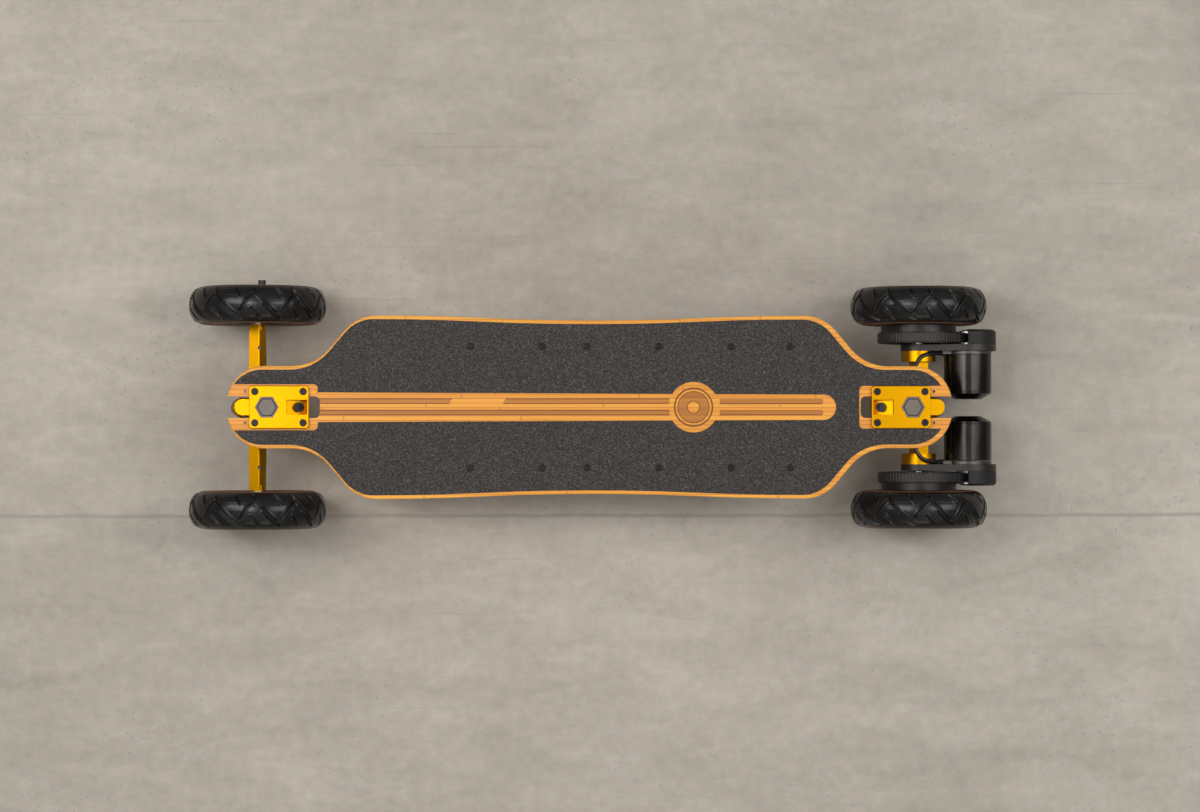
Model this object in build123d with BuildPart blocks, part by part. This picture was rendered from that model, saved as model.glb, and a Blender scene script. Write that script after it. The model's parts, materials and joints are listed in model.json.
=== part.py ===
from math import acos, asin, atan2, cos, degrees, pi, radians, sin, sqrt, tan
import os

from build123d import *

os.makedirs("parts", exist_ok=True)

# ---------------------------------------------------------------------------
# Driving dimensions, millimetres.
# Row frame: +X towards the tail (the driven end), +Y to the left side, +Z up.
# The wheels stand on Z = 0 and the origin is below the middle of the whole
# board, so the middle of the deck lies a little ahead of it, at X0.
# ---------------------------------------------------------------------------
X0 = -7.0                 # middle of the deck
WHEELBASE = 890.0         # axle to axle
TYRE_R = 91.0
TYRE_HALF = 25.0          # half width at the widest point of the sidewall
WHEEL_Y = 136.7           # centre plane of a wheel
AXLE_Z = TYRE_R

DECK_BOTTOM = 144.0
DECK_T = 12.0
DECK_TOP = DECK_BOTTOM + DECK_T
TAPE_T = 1.0
SLOT_HALF = 14.5          # slot in nose and tail, open at the end
SLOT_INNER = 358.5

PLATE_X = 412.0           # centre of each truck plate, from the deck's middle
PLATE_L, PLATE_W, PLATE_T = 78.5, 56.4, 5.0
PLATE_TOP = DECK_TOP + PLATE_T
TRUCK_BOLT_X, TRUCK_BOLT_Y = 63.5, 41.3   # standard truck bolt rectangle
DECK_SCREW_X = (-160.0, -64.7, -5.0, 90.0, 186.0, 264.5)
DECK_SCREW_Y = 80.5

RAKE = 20.0               # slope of both steering axes, degrees
RING_U, RING_Z = -15.95, 123.5   # middle of the upper ring, from the plate
CP, SP = cos(radians(RAKE)), sin(radians(RAKE))
Q2 = -47.3                # lower steering axis, measured along the kingpins
P_AXLE = 34.9             # wheel axle, measured along the steering axis
P_K2 = 55.1               # lower kingpin, measured along the steering axis
KP_R = 5.0                # kingpin shank
RING_T = 9.0
CUP_R, NOSE_R = 8.5, 5.0
RUN = 0.05                # radial running clearance

AXLE_R = 6.0
BEARING_R = 14.0
BEARING_W = 8.0

PITCH = 5.0               # belt pitch
TEETH_WHEEL, TEETH_MOTOR = 68, 16
MOTOR_C = 66.7            # motor shaft behind the wheel axle
TIP_WHEEL = TEETH_WHEEL * PITCH / (2 * pi) - 0.5715
TIP_MOTOR = TEETH_MOTOR * PITCH / (2 * pi) - 0.5715
BELT_IN, BELT_OUT = 86.5, 101.5           # belt edges, |Y|
MOTOR_R = 32.0

ENDS = {"front": -1, "rear": 1}
SIDES = {"left": 1, "right": -1}


# ---------------------------------------------------------------------------
# Planes. Each truck is laid out in (p, q): p along its steering axis,
# outwards and up, q along its kingpins, up. s is -1 in front, 1 behind.
# ---------------------------------------------------------------------------
def spot(s, p, q):
    u = RING_U + CP * p - SP * q
    return (X0 + s * (PLATE_X + u), 0, RING_Z + SP * p + CP * q)


def uz(p, q):
    return (RING_U + CP * p - SP * q, RING_Z + SP * p + CP * q)


def a_dir(s):
    return (s * CP, 0, SP)


def k_dir(s):
    return (-s * SP, 0, CP)


def side_plane(s):
    """X is the distance outwards from the plate's centre, Y the height."""
    return Plane(origin=(X0 + s * PLATE_X, 0, 0), x_dir=(s, 0, 0), z_dir=(0, -s, 0))


def pq_plane(s):
    return Plane(origin=spot(s, 0, 0), x_dir=a_dir(s), z_dir=(0, -s, 0))


def k_plane(s, p, q):
    """Square to the kingpins, facing up along them."""
    return Plane(origin=spot(s, p, q), x_dir=a_dir(s), z_dir=k_dir(s))


def a_plane(s, p, q):
    """Square to the steering axis, facing outwards."""
    return Plane(origin=spot(s, p, q), x_dir=(0, 1, 0), z_dir=a_dir(s))


def y_plane(x, y, z, side):
    """Square to Y, facing away from the middle of the board."""
    return Plane(origin=(x, side * y, z), x_dir=(1, 0, 0), z_dir=(0, side, 0))


def wheel_x(end):
    return X0 + ENDS[end] * WHEELBASE / 2


def save(builder, name):
    builder.part.label = name
    export_step(builder.part, f"parts/{name}.step")


def tangent_outline(c, r1, r2):
    """Corner points of the two outer tangents of circles r1 at 0 and r2 at c."""
    a = acos((r1 - r2) / c)
    return [
        (r1 * cos(a), r1 * sin(a)),
        (c + r2 * cos(a), r2 * sin(a)),
        (c + r2 * cos(a), -r2 * sin(a)),
        (r1 * cos(a), -r1 * sin(a)),
    ]


# ---------------------------------------------------------------------------
# Deck: a flat bamboo plank with a narrow neck at each end and a wide,
# slightly waisted middle. One quarter of the outline is a chain of tangent
# arcs and lines, and it is mirrored to the other three.
# ---------------------------------------------------------------------------
WAIST, WIDE, NECK = 115.0, 121.5, 54.6    # half widths
FLARE = 50.0                              # slope of the neck's flare, degrees
HIP_R, NECK_R, NOSE_END_R = 54.0, 64.0, 50.0
NOSE_CX = 431.2
SIDE_R = (142.0**2 + ((WIDE - WAIST) / 2) ** 2) / (WIDE - WAIST)


def outline_edges():
    bend = degrees(asin(142.0 / SIDE_R))
    a1 = JernArc((0, WAIST), (1, 0), SIDE_R, bend)
    a2 = JernArc(a1 @ 1, a1 % 1, SIDE_R, -bend)
    a3 = JernArc(a2 @ 1, (1, 0), HIP_R, -FLARE)
    run = (WIDE - NECK - (HIP_R + NECK_R) * (1 - cos(radians(FLARE)))) / sin(radians(FLARE))
    l4 = Line(a3 @ 1, (a3 @ 1) + (a3 % 1) * run)
    a5 = JernArc(l4 @ 1, l4 % 1, NECK_R, FLARE)
    l6 = Line(a5 @ 1, (NOSE_CX, (a5 @ 1).Y))
    a7 = JernArc(l6 @ 1, (1, 0), NOSE_END_R, -90)
    l8 = Line(a7 @ 1, ((a7 @ 1).X, 0))
    chain = [a1, a2, a3, l4, a5, l6, a7, l8]
    mirror(chain, about=Plane.YZ)
    mirror(chain, about=Plane.XZ)
    mirror([e.mirror(Plane.YZ) for e in chain], about=Plane.XZ)


with BuildPart() as deck:
    with BuildSketch(Plane((X0, 0, DECK_BOTTOM))) as outline:
        with BuildLine():
            outline_edges()
        make_face()
    extrude(amount=DECK_T)
    fillet(deck.edges().group_by(Axis.Z)[-1], 2.0)
    fillet(deck.edges().group_by(Axis.Z)[0], 3.0)
    # slots in nose and tail, with rounded inner corners
    for s in (-1, 1):
        with BuildSketch(Plane((X0 + s * (SLOT_INNER + 70), 0, DECK_BOTTOM - 1))):
            RectangleRounded(140.0, 2 * SLOT_HALF, 7.0)
        extrude(amount=DECK_T + 2, mode=Mode.SUBTRACT)
        with BuildSketch(Plane((X0 + s * 485, 0, DECK_BOTTOM - 1))):
            Rectangle(60.0, 2 * SLOT_HALF)
        extrude(amount=DECK_T + 2, mode=Mode.SUBTRACT)
    # screw holes: trucks, electronics boxes, and two spare holes at each end
    with BuildSketch(Plane((X0, 0, DECK_BOTTOM - 1))):
        for s in (-1, 1):
            with Locations((s * PLATE_X, 0)):
                with GridLocations(TRUCK_BOLT_X, TRUCK_BOLT_Y, 2, 2):
                    Circle(2.6)
            with Locations((s * 456.5, 20.65), (s * 456.5, -20.65)):
                Circle(2.0)
        for x in DECK_SCREW_X:
            with Locations((x, DECK_SCREW_Y), (x, -DECK_SCREW_Y)):
                Circle(2.6)
    extrude(amount=DECK_T + 2, mode=Mode.SUBTRACT)
    # decorative grooves along the bare centre stripe
    with BuildSketch(Plane((X0, 0, DECK_TOP - 0.8))):
        for x1, x2, y1, y2, lean in (
            (-359.0, -188.0, 4.2, 11.6, 4.0),
            (-113.0, 104.0, 4.2, 11.6, 0.0),
            (-359.0, 104.0, -10.8, -3.4, 0.0),
            (171.0, 306.0, 4.0, 10.8, 0.0),
            (171.0, 306.0, -10.8, -4.0, 0.0),
        ):
            with BuildLine():
                Polyline((x1, y1), (x2, y1), (x2 + lean, y2), (x1, y2), close=True)
            make_face()
        with BuildLine():
            Polyline((-113.0, 4.2), (-117.0, 4.2), (-113.0, 11.6), close=True)
        make_face()
        for y in (7.4, -7.4):
            with Locations((305.5, y)):
                Circle(3.4)
        with Locations((136.0, 0)):
            Circle(26.2)
            Circle(24.0, mode=Mode.SUBTRACT)
            Circle(21.4)
            Circle(7.5, mode=Mode.SUBTRACT)
    extrude(amount=3, mode=Mode.SUBTRACT)
save(deck, "deck")

# Grip tape: one sheet, inset from the deck's edge and set a little forward,
# bare round both trucks and along the centre stripe.
TAPE_SHIFT = -3.4
with BuildPart() as grip_tape:
    with BuildSketch(Plane((X0 + TAPE_SHIFT, 0, DECK_TOP))) as tape_outline:
        with BuildLine():
            outline_edges()
        make_face()
        offset(amount=-5.0)
    extrude(amount=TAPE_T)
    with BuildSketch(Plane((X0, 0, DECK_TOP - 1))):
        with Locations((-361.0 - 75, 0)):
            RectangleRounded(150.0, 61.0, 6.0)
        with Locations((-361.0 - 115, 0)):
            Rectangle(120.0, 61.0)
        with Locations((356.6 + 75, 0)):
            RectangleRounded(150.0, 57.0, 6.0)
        with Locations((356.6 + 115, 0)):
            Rectangle(120.0, 57.0)
        with BuildLine():
            Polyline((-370, 19.75), (309, 17.0), (309, -17.0), (-370, -19.75), close=True)
        make_face()
        with Locations((309, 0)):
            Circle(17.0)
        with Locations((136.0, 0)):
            Circle(33.6)
        for x in DECK_SCREW_X:
            with Locations((x, DECK_SCREW_Y), (x, -DECK_SCREW_Y)):
                Circle(4.6)
    extrude(amount=4, mode=Mode.SUBTRACT)
save(grip_tape, "grip_tape")

# Deck screws: button heads standing just above the tape.
with BuildPart() as deck_screws:
    for x in DECK_SCREW_X:
        for y in (DECK_SCREW_Y, -DECK_SCREW_Y):
            with BuildSketch(Plane((X0 + x, y, DECK_TOP))):
                Circle(4.5)
            extrude(amount=2.6)
            with BuildSketch(Plane((X0 + x, y, DECK_TOP - 20))):
                Circle(2.4)
            extrude(amount=20)
    fillet(deck_screws.edges().group_by(Axis.Z)[-1], 1.2)
    for x in DECK_SCREW_X:
        for y in (DECK_SCREW_Y, -DECK_SCREW_Y):
            with BuildSketch(Plane((X0 + x, y, DECK_TOP + 1.0))):
                RegularPolygon(1.75, 6)
            extrude(amount=4, mode=Mode.SUBTRACT)
save(deck_screws, "deck_screws")


# ---------------------------------------------------------------------------
# Truck baseplates, let into the slots from above.
# ---------------------------------------------------------------------------
def make_baseplate(s):
    with BuildPart() as base:
        with BuildSketch(Plane((X0 + s * PLATE_X, 0, DECK_TOP))):
            RectangleRounded(PLATE_L, PLATE_W, 4.5)
        extrude(amount=PLATE_T)
        fillet(base.edges().group_by(Axis.Z)[-1], 0.9)
        # wedge that carries the upper kingpin
        with BuildSketch(side_plane(s)):
            with BuildLine():
                Polyline(
                    (-38.6, DECK_TOP + 1), (-38.6, 137.5), uz(-15.0, 18.0), uz(14.0, 18.0),
                    (-4.0, DECK_TOP + 1), close=True,
                )
            make_face()
        extrude(amount=14.0, both=True)
        # tongue that holds the upper pivot cup
        with BuildSketch(side_plane(s)):
            with BuildLine():
                Polyline(
                    (29.0, 159.0), uz(54.0, 12.0), uz(54.0, -10.75), uz(72.0, -10.75),
                    (58.5, 141.0), (58.5, 159.0), close=True,
                )
            make_face()
        extrude(amount=10.75, both=True)
        fillet(
            base.edges().filter_by(Axis.Z).filter_by(lambda e: abs(abs(e.center().X - X0) - (PLATE_X + 58.5)) < 0.1),
            10.3,
        )
        # window over the kingpin, with a floor square to it
        with BuildSketch(side_plane(s)):
            with BuildLine():
                f1, f2 = uz(-13.27, 25.0), uz(15.46, 25.0)
                Polyline(f1, f2, (f2[0], 175), (f1[0], 175), close=True)
            make_face()
        extrude(amount=9.75, both=True, mode=Mode.SUBTRACT)
        with BuildSketch(k_plane(s, 0, 10)):
            Circle(KP_R + 0.1)
        extrude(amount=20, mode=Mode.SUBTRACT)
        with BuildSketch(a_plane(s, 50, 0)):
            Circle(CUP_R + 0.02)
        extrude(amount=19, mode=Mode.SUBTRACT)
        # bolt holes with counterbores, and the recess for the badge
        with BuildSketch(Plane((X0 + s * PLATE_X, 0, DECK_TOP - 1))):
            with GridLocations(TRUCK_BOLT_X, TRUCK_BOLT_Y, 2, 2):
                Circle(2.6)
        extrude(amount=10, mode=Mode.SUBTRACT)
        with BuildSketch(Plane((X0 + s * PLATE_X, 0, PLATE_TOP - 2.2))):
            with GridLocations(TRUCK_BOLT_X, TRUCK_BOLT_Y, 2, 2):
                Circle(4.85)
            with Locations((s * 16.0, 0)):
                RegularPolygon(15.8, 6)
        extrude(amount=5, mode=Mode.SUBTRACT)
    return base


for end, s in ENDS.items():
    save(make_baseplate(s), f"{end}_baseplate")

# Badges: a plain hexagonal inset with a hexagonal groove, one on each plate.
with BuildPart() as baseplate_badges:
    for s in (-1, 1):
        with BuildSketch(Plane((X0 + s * (PLATE_X + 16.0), 0, PLATE_TOP - 2.2))):
            RegularPolygon(15.7, 6)
        extrude(amount=1.7)
        with BuildSketch(Plane((X0 + s * (PLATE_X + 16.0), 0, PLATE_TOP - 1.2))):
            RegularPolygon(13.2, 6)
            RegularPolygon(11.9, 6, mode=Mode.SUBTRACT)
        extrude(amount=3, mode=Mode.SUBTRACT)
save(baseplate_badges, "baseplate_badges")

# Truck bolts: button head in the counterbore, nut under the deck.
with BuildPart() as truck_bolts:
    for s in (-1, 1):
        for dx in (-TRUCK_BOLT_X / 2, TRUCK_BOLT_X / 2):
            for y in (-TRUCK_BOLT_Y / 2, TRUCK_BOLT_Y / 2):
                x = X0 + s * PLATE_X + dx
                with BuildSketch(Plane((x, y, DECK_BOTTOM - 6.0))):
                    Circle(2.5)
                extrude(amount=DECK_T + 9.0)
                with BuildSketch(Plane((x, y, PLATE_TOP - 2.2))):
                    Circle(4.65)
                extrude(amount=2.6)
                with BuildSketch(Plane((x, y, PLATE_TOP - 1.4))):
                    RegularPolygon(1.9, 6)
                extrude(amount=4, mode=Mode.SUBTRACT)
                with BuildSketch(Plane((x, y, DECK_BOTTOM - 5.0))):
                    RegularPolygon(4.6, 6)
                extrude(amount=5.0)
save(truck_bolts, "truck_bolts")


# ---------------------------------------------------------------------------
# Kingpins with their washers and nuts, and the urethane bushings and cups.
# ---------------------------------------------------------------------------
def kingpin(s, p, q_seat, q_head, q_top, q_low, q_nut, q_end):
    """Bolt from its seat at q_seat to q_end, washers at q_top and q_low."""
    with BuildPart() as pin:
        with BuildSketch(k_plane(s, p, q_end)):
            Circle(KP_R)
        extrude(amount=q_seat - q_end)
        with BuildSketch(k_plane(s, p, q_seat)):
            Circle(6.5)
        extrude(amount=q_head)
        with BuildSketch(k_plane(s, p, q_seat + q_head - 3)):
            RegularPolygon(3.4, 6)
        extrude(amount=4, mode=Mode.SUBTRACT)
        for q in (q_top, q_low):
            with BuildSketch(k_plane(s, p, q)):
                Circle(12.0)
            extrude(amount=1.5)
        with BuildSketch(k_plane(s, p, q_nut)):
            RegularPolygon(8.66, 6)
        extrude(amount=7.5)
    return pin.part


def bushing(s, p, q, h, r_low, r_high):
    """Ring of urethane round a kingpin, from q upwards."""
    with BuildPart() as ring:
        with BuildSketch(k_plane(s, p, q)):
            Circle(r_low)
        with BuildSketch(k_plane(s, p, q + h)):
            Circle(r_high)
        loft()
        with BuildSketch(k_plane(s, p, q - 1)):
            Circle(KP_R + 0.15)
        extrude(amount=h + 2, mode=Mode.SUBTRACT)
    return ring.part


def cup(s, p, q, length):
    """Pivot cup, open where it starts at p and closed at its far end."""
    away = 1 if length > 0 else -1
    with BuildPart() as shell:
        with BuildSketch(a_plane(s, p, q)):
            Circle(CUP_R)
        extrude(amount=length)
        with BuildSketch(a_plane(s, p - away, q)):
            Circle(NOSE_R + RUN)
        extrude(amount=length - away * 0.5, mode=Mode.SUBTRACT)
    return shell.part


pins = [kingpin(s, 0.0, 25.0, 6.0, 16.5, -16.0, -23.5, -25.0) for s in (-1, 1)]
with BuildPart() as upper_kingpins:
    for piece in pins:
        add(piece)
save(upper_kingpins, "upper_kingpins")

for end, s in ENDS.items():
    soft = [bushing(s, 0.0, 4.5, 12.0, 12.0, 12.0), bushing(s, 0.0, -14.5, 10.0, 9.0, 12.0), cup(s, 54.5, 0.0, 14.4)]
    with BuildPart() as upper_bushings:
        for piece in soft:
            add(piece)
    save(upper_bushings, f"{end}_upper_bushings")

    pin = kingpin(s, P_K2, -21.3, 6.0, -30.8, -63.3, -70.8, -72.3)
    with BuildPart() as lower_kingpin:
        add(pin)
    save(lower_kingpin, f"{end}_lower_kingpin")

    soft = [
        bushing(s, P_K2, -42.8, 12.0, 12.0, 12.0), bushing(s, P_K2, -61.8, 10.0, 9.0, 12.0),
        cup(s, 15.5, Q2, -12.4),
    ]
    with BuildPart() as lower_bushings:
        for piece in soft:
            add(piece)
    save(lower_bushings, f"{end}_lower_bushings")


# ---------------------------------------------------------------------------
# Carriage: the middle link between the two steering axes of a truck.
# ---------------------------------------------------------------------------
def make_carriage(s):
    with BuildPart() as body:
        with BuildSketch(pq_plane(s)):
            with BuildLine():
                Polyline(
                    (9.0, 4.5), (13.5, 4.5), (40.0, 6.0), (46.0, 6.0), (46.0, -6.0), (43.5, -8.0),
                    (41.5, -21.3), (67.0, -21.3), (67.0, -29.3), (24.0, -29.3),
                    (17.5, -35.5), (16.0, -38.0), (16.0, -44.0), (2.0, -44.0),
                    (2.0, -40.0), (11.0, -31.0), (14.5, -26.0), (14.5, -6.0),
                    (13.5, -4.5), (9.0, -4.5), close=True,
                )
            make_face()
        extrude(amount=8.5, both=True)
        with BuildSketch(k_plane(s, P_K2, -29.3)):
            Circle(13.0)
            with Locations((-12, 0)):
                Rectangle(24.0, 26.0)
        extrude(amount=8.0)
        with BuildSketch(k_plane(s, 0, -RING_T / 2)):
            Circle(15.0)
            with Locations((12, 0)):
                Rectangle(16.0, 22.0)
        extrude(amount=RING_T)
        with BuildSketch(a_plane(s, 2.0, Q2)):
            Circle(10.75)
        extrude(amount=14.0)
        with BuildSketch(a_plane(s, 40.0, 0)):
            Circle(8.2)
        with BuildSketch(a_plane(s, 53.0, 0)):
            Circle(NOSE_R)
        loft()
        with BuildSketch(a_plane(s, 53.0, 0)):
            Circle(NOSE_R)
        extrude(amount=13.0)
        # bores
        with BuildSketch(k_plane(s, 0, -10)):
            Circle(8.0)
        extrude(amount=20, mode=Mode.SUBTRACT)
        with BuildSketch(k_plane(s, P_K2, -32)):
            Circle(KP_R + 0.1)
        extrude(amount=14, mode=Mode.SUBTRACT)
        with BuildSketch(a_plane(s, 3.05, Q2)):
            Circle(CUP_R + 0.02)
        extrude(amount=14, mode=Mode.SUBTRACT)
    return body


for end, s in ENDS.items():
    save(make_carriage(s), f"{end}_carriage")


# ---------------------------------------------------------------------------
# Hangers: a faceted beam across the board, a ring for the lower kingpin on
# its outer side and a pivot nose on its inner side.
# ---------------------------------------------------------------------------
def beam_section(k):
    """Faceted section, outward side first; k scales it."""
    return [
        (-12.5 * k, -3.0 * k), (-3.5 * k, 12.0 * k), (-1.8 * k, 12.5 * k), (12.5 * k, 7.0 * k),
        (12.5 * k, -3.0 * k), (7.0 * k, -12.5 * k), (-6.0 * k, -12.5 * k),
    ]


def make_hanger(end):
    s = ENDS[end]
    reach, k_end = (110.8, 0.86) if end == "front" else (63.0, 0.98)
    xw = wheel_x(end)
    with BuildPart() as hanger:
        for side in (1, -1):
            for y, k in ((0.0, 1.0), (reach, k_end)):
                with BuildSketch(Plane(origin=(xw, side * y, AXLE_Z), x_dir=(s, 0, 0), z_dir=(0, -s, 0))):
                    with BuildLine():
                        Polyline(*beam_section(k), close=True)
                    make_face()
            loft()
            if end == "front":
                with BuildSketch(y_plane(xw, 103.5, AXLE_Z, side)):
                    Circle(9.6)
                extrude(amount=8.5)
            else:
                with BuildSketch(y_plane(xw, 62.0, AXLE_Z, side)):
                    Circle(23.5)
                extrude(amount=14.4)
                with BuildSketch(y_plane(xw, 76.0, AXLE_Z, side)):
                    Circle(10.0)
                extrude(amount=9.6)
        # ring and nose on the lower steering axis
        with BuildSketch(k_plane(s, P_K2, Q2 - RING_T / 2)):
            Circle(14.0)
            with Locations((-11, 0)):
                Rectangle(16.0, 24.0)
        extrude(amount=RING_T)
        with BuildSketch(a_plane(s, 34.0, Q2)):
            Circle(8.0)
        extrude(amount=-9.0)
        with BuildSketch(a_plane(s, 25.0, Q2)):
            Circle(8.0)
        with BuildSketch(a_plane(s, 17.6, Q2)):
            Circle(NOSE_R)
        loft()
        with BuildSketch(a_plane(s, 17.6, Q2)):
            Circle(NOSE_R)
        extrude(amount=-12.6)
        # pockets that clear the bushings above and below the ring
        with BuildSketch(k_plane(s, P_K2, Q2 + RING_T / 2)):
            Circle(13.2)
        extrude(amount=20.0, mode=Mode.SUBTRACT)
        with BuildSketch(k_plane(s, P_K2, Q2 - RING_T / 2)):
            Circle(13.2)
        extrude(amount=-24.0, mode=Mode.SUBTRACT)
        # bores for the kingpin and the axle, and a small hole in each arm
        with BuildSketch(k_plane(s, P_K2, Q2 - 8)):
            Circle(8.0)
        extrude(amount=16, mode=Mode.SUBTRACT)
        with BuildSketch(Plane(origin=(xw, 0, AXLE_Z), x_dir=(1, 0, 0), z_dir=(0, 1, 0))):
            Circle(AXLE_R + 0.02)
        extrude(amount=130, both=True, mode=Mode.SUBTRACT)
        if end == "front":
            with BuildSketch(Plane((xw + 3.2, 0, AXLE_Z + 8.0))):
                with Locations((0, 80), (0, -80)):
                    Circle(2.3)
            extrude(amount=10, mode=Mode.SUBTRACT)
        else:
            for side in (1, -1):
                with BuildSketch(y_plane(xw, 66.0, AXLE_Z, side)):
                    with PolarLocations(17.0, 4, start_angle=45):
                        Circle(2.05)
                extrude(amount=12, mode=Mode.SUBTRACT)
    return hanger


for end in ENDS:
    save(make_hanger(end), f"{end}_hanger")

# Axles: a through rod with, on each side, spacers, a washer and a nut.
WY = WHEEL_Y
for end in ENDS:
    xw = wheel_x(end)
    shoulder = 112.0 if end == "front" else 85.6
    with BuildPart() as axle:
        with BuildSketch(Plane(origin=(xw, -160.6, AXLE_Z), x_dir=(1, 0, 0), z_dir=(0, 1, 0))):
            Circle(AXLE_R)
        extrude(amount=321.2)
        for side in (1, -1):
            for y1, y2, r in (
                (shoulder, WY - 16.0, 8.4), (WY - 8.0, WY + 4.0, 8.0), (WY + 12.05, WY + 13.4, 9.6),
            ):
                with BuildSketch(y_plane(xw, y1, AXLE_Z, side)):
                    Circle(r)
                    Circle(AXLE_R - 1.0, mode=Mode.SUBTRACT)
                extrude(amount=y2 - y1)
            with BuildSketch(y_plane(xw, WY + 13.4, AXLE_Z, side)):
                RegularPolygon(10.9, 6)
            extrude(amount=8.6)
    save(axle, f"{end}_axle")

    # Ball bearings sit on the axle; the hubs turn on their outer rings.
    with BuildPart() as bearings:
        for side in (1, -1):
            for y in (WY - 16.0, WY + 4.0):
                with BuildSketch(y_plane(xw, y, AXLE_Z, side)):
                    Circle(BEARING_R - 0.03)
                    Circle(AXLE_R + 0.02, mode=Mode.SUBTRACT)
                extrude(amount=BEARING_W)
                for yy in (y, y + BEARING_W - 0.6):
                    with BuildSketch(y_plane(xw, yy, AXLE_Z, side)):
                        Circle(12.2)
                        Circle(8.6, mode=Mode.SUBTRACT)
                    extrude(amount=0.6, mode=Mode.SUBTRACT)
    save(bearings, f"{end}_wheel_bearings")

# ---------------------------------------------------------------------------
# Wheels: pneumatic tyre, inner tube with its valve, spoked hub.
# ---------------------------------------------------------------------------
VALVE = {                 # angle of the valve from straight up, and its tip
    ("front", "left"): (13.6, 32.5),
    ("front", "right"): (150.0, 23.0),
    ("rear", "left"): (215.0, 23.0),
    ("rear", "right"): (80.0, 23.0),
}


def wheel_section(xw, side):
    """Half plane through a wheel's axle: X is the distance from the wheel's
    centre plane outwards, Y the radius."""
    return Plane(origin=(xw, side * WHEEL_Y, AXLE_Z), x_dir=(0, side, 0), z_dir=(side, 0, 0))


for (end, side_name), (valve_deg, valve_tip) in VALVE.items():
    side, xw = SIDES[side_name], wheel_x(end)
    name = f"{end}_{side_name}"
    spin = Axis((xw, side * WHEEL_Y, AXLE_Z), (0, 1, 0))
    with BuildPart() as tyre:
        with BuildSketch(wheel_section(xw, side)):
            with BuildLine():
                outer = [
                    (-18.3, 50.6), (-22.6, 58.0), (-25.0, 69.0), (-23.7, 78.4), (-20.0, 84.1),
                    (-11.5, 89.2), (0.0, 91.0), (11.5, 89.2), (20.0, 84.1), (23.7, 78.4),
                    (25.0, 69.0), (22.6, 58.0), (18.3, 50.6),
                ]
                Spline(*outer)
                Polyline((18.3, 50.6), (18.3, 45.6), (14.3, 45.6), (14.6, 52.0))
                Spline(
                    (14.6, 52.0), (17.5, 58.0), (19.6, 70.0), (15.5, 81.0), (0.0, 85.6),
                    (-15.5, 81.0), (-19.6, 70.0), (-17.5, 58.0), (-14.6, 52.0),
                )
                Polyline((-14.6, 52.0), (-14.3, 45.6), (-18.3, 45.6), (-18.3, 50.6))
            make_face()
        revolve(axis=spin)
    save(tyre, f"{name}_tyre")

    turn = radians(valve_deg)
    out = (sin(turn), 0, cos(turn))          # direction of the valve from the axle

    def radial(r, y):
        return (xw + r * out[0], side * (WHEEL_Y + y), AXLE_Z + r * out[2])

    with BuildPart() as hub:
        with BuildSketch(wheel_section(xw, side)):
            with BuildLine():
                Polyline(
                    (-20.5, 41.5), (-20.5, 50.0), (-18.5, 50.0), (-18.5, 45.5), (18.5, 45.5),
                    (18.5, 50.0), (20.5, 50.0), (20.5, 41.5), (6.0, 39.5), (5.0, 20.0),
                    (14.0, 18.0), (14.0, BEARING_R), (4.0, BEARING_R), (4.0, 9.0), (-8.0, 9.0),
                    (-8.0, BEARING_R), (-18.0, BEARING_R), (-18.0, 18.0), (-5.0, 20.0),
                    (-6.0, 39.5), close=True,
                )
            make_face()
        revolve(axis=spin)
        # five openings between the spokes
        with BuildSketch(y_plane(xw, WHEEL_Y - 10, AXLE_Z, side)):
            with PolarLocations(0, 5, start_angle=18):
                with BuildLine():
                    ang = radians(25)
                    Polyline(
                        (24 * cos(ang * 0.75), 24 * sin(ang * 0.75)), (36 * cos(ang), 36 * sin(ang)),
                        (38.0, 0), (36 * cos(ang), -36 * sin(ang)),
                        (24 * cos(ang * 0.75), -24 * sin(ang * 0.75)), close=True,
                    )
                make_face()
        extrude(amount=20, mode=Mode.SUBTRACT)
        with BuildSketch(Plane(origin=radial(36, 10.0), z_dir=out)):
            Circle(4.2)
        extrude(amount=12, mode=Mode.SUBTRACT)
    save(hub, f"{name}_hub")

    # the tube's section is drawn at the valve, so that its seam is there
    at_valve = Plane(
        origin=(xw, side * WHEEL_Y, AXLE_Z), x_dir=(0, side, 0), z_dir=(side * cos(turn), 0, -side * sin(turn))
    )
    with BuildPart() as tube:
        with BuildSketch(at_valve):
            with Locations((0, 68.0)):
                Ellipse(17.6, 16.5)
        revolve(axis=spin)
        with BuildSketch(at_valve):
            with Locations((0, 68.0)):
                Ellipse(16.0, 14.9)
        revolve(axis=spin, mode=Mode.SUBTRACT)
        # valve stem: in through the rim, then bent outwards, with a cap
        with BuildSketch(Plane(origin=radial(34.0, 10.0), z_dir=out)):
            Circle(4.0)
        extrude(amount=20.2)
        with Locations(radial(34.0, 10.0)):
            Sphere(4.0)
        with BuildSketch(Plane(origin=radial(34.0, 10.0), x_dir=(1, 0, 0), z_dir=(0, side, 0))):
            Circle(4.0)
        extrude(amount=valve_tip - 10.0)
        with BuildSketch(Plane(origin=radial(34.0, valve_tip - 9.0), x_dir=(1, 0, 0), z_dir=(0, side, 0))):
            Circle(5.0)
        extrude(amount=9.0)
    save(tube, f"{name}_inner_tube")


# ---------------------------------------------------------------------------
# Rear drive: toothed pulleys, belts, mounts, covers and two motors.
# ---------------------------------------------------------------------------
def toothed(teeth, tip, depth, root):
    """Pulley face: round grooves on a circle of tip radius."""
    Circle(tip)
    with PolarLocations(tip - depth + root, teeth):
        Circle(root, mode=Mode.SUBTRACT)


XR = wheel_x("rear")
XM = XR + MOTOR_C

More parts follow.
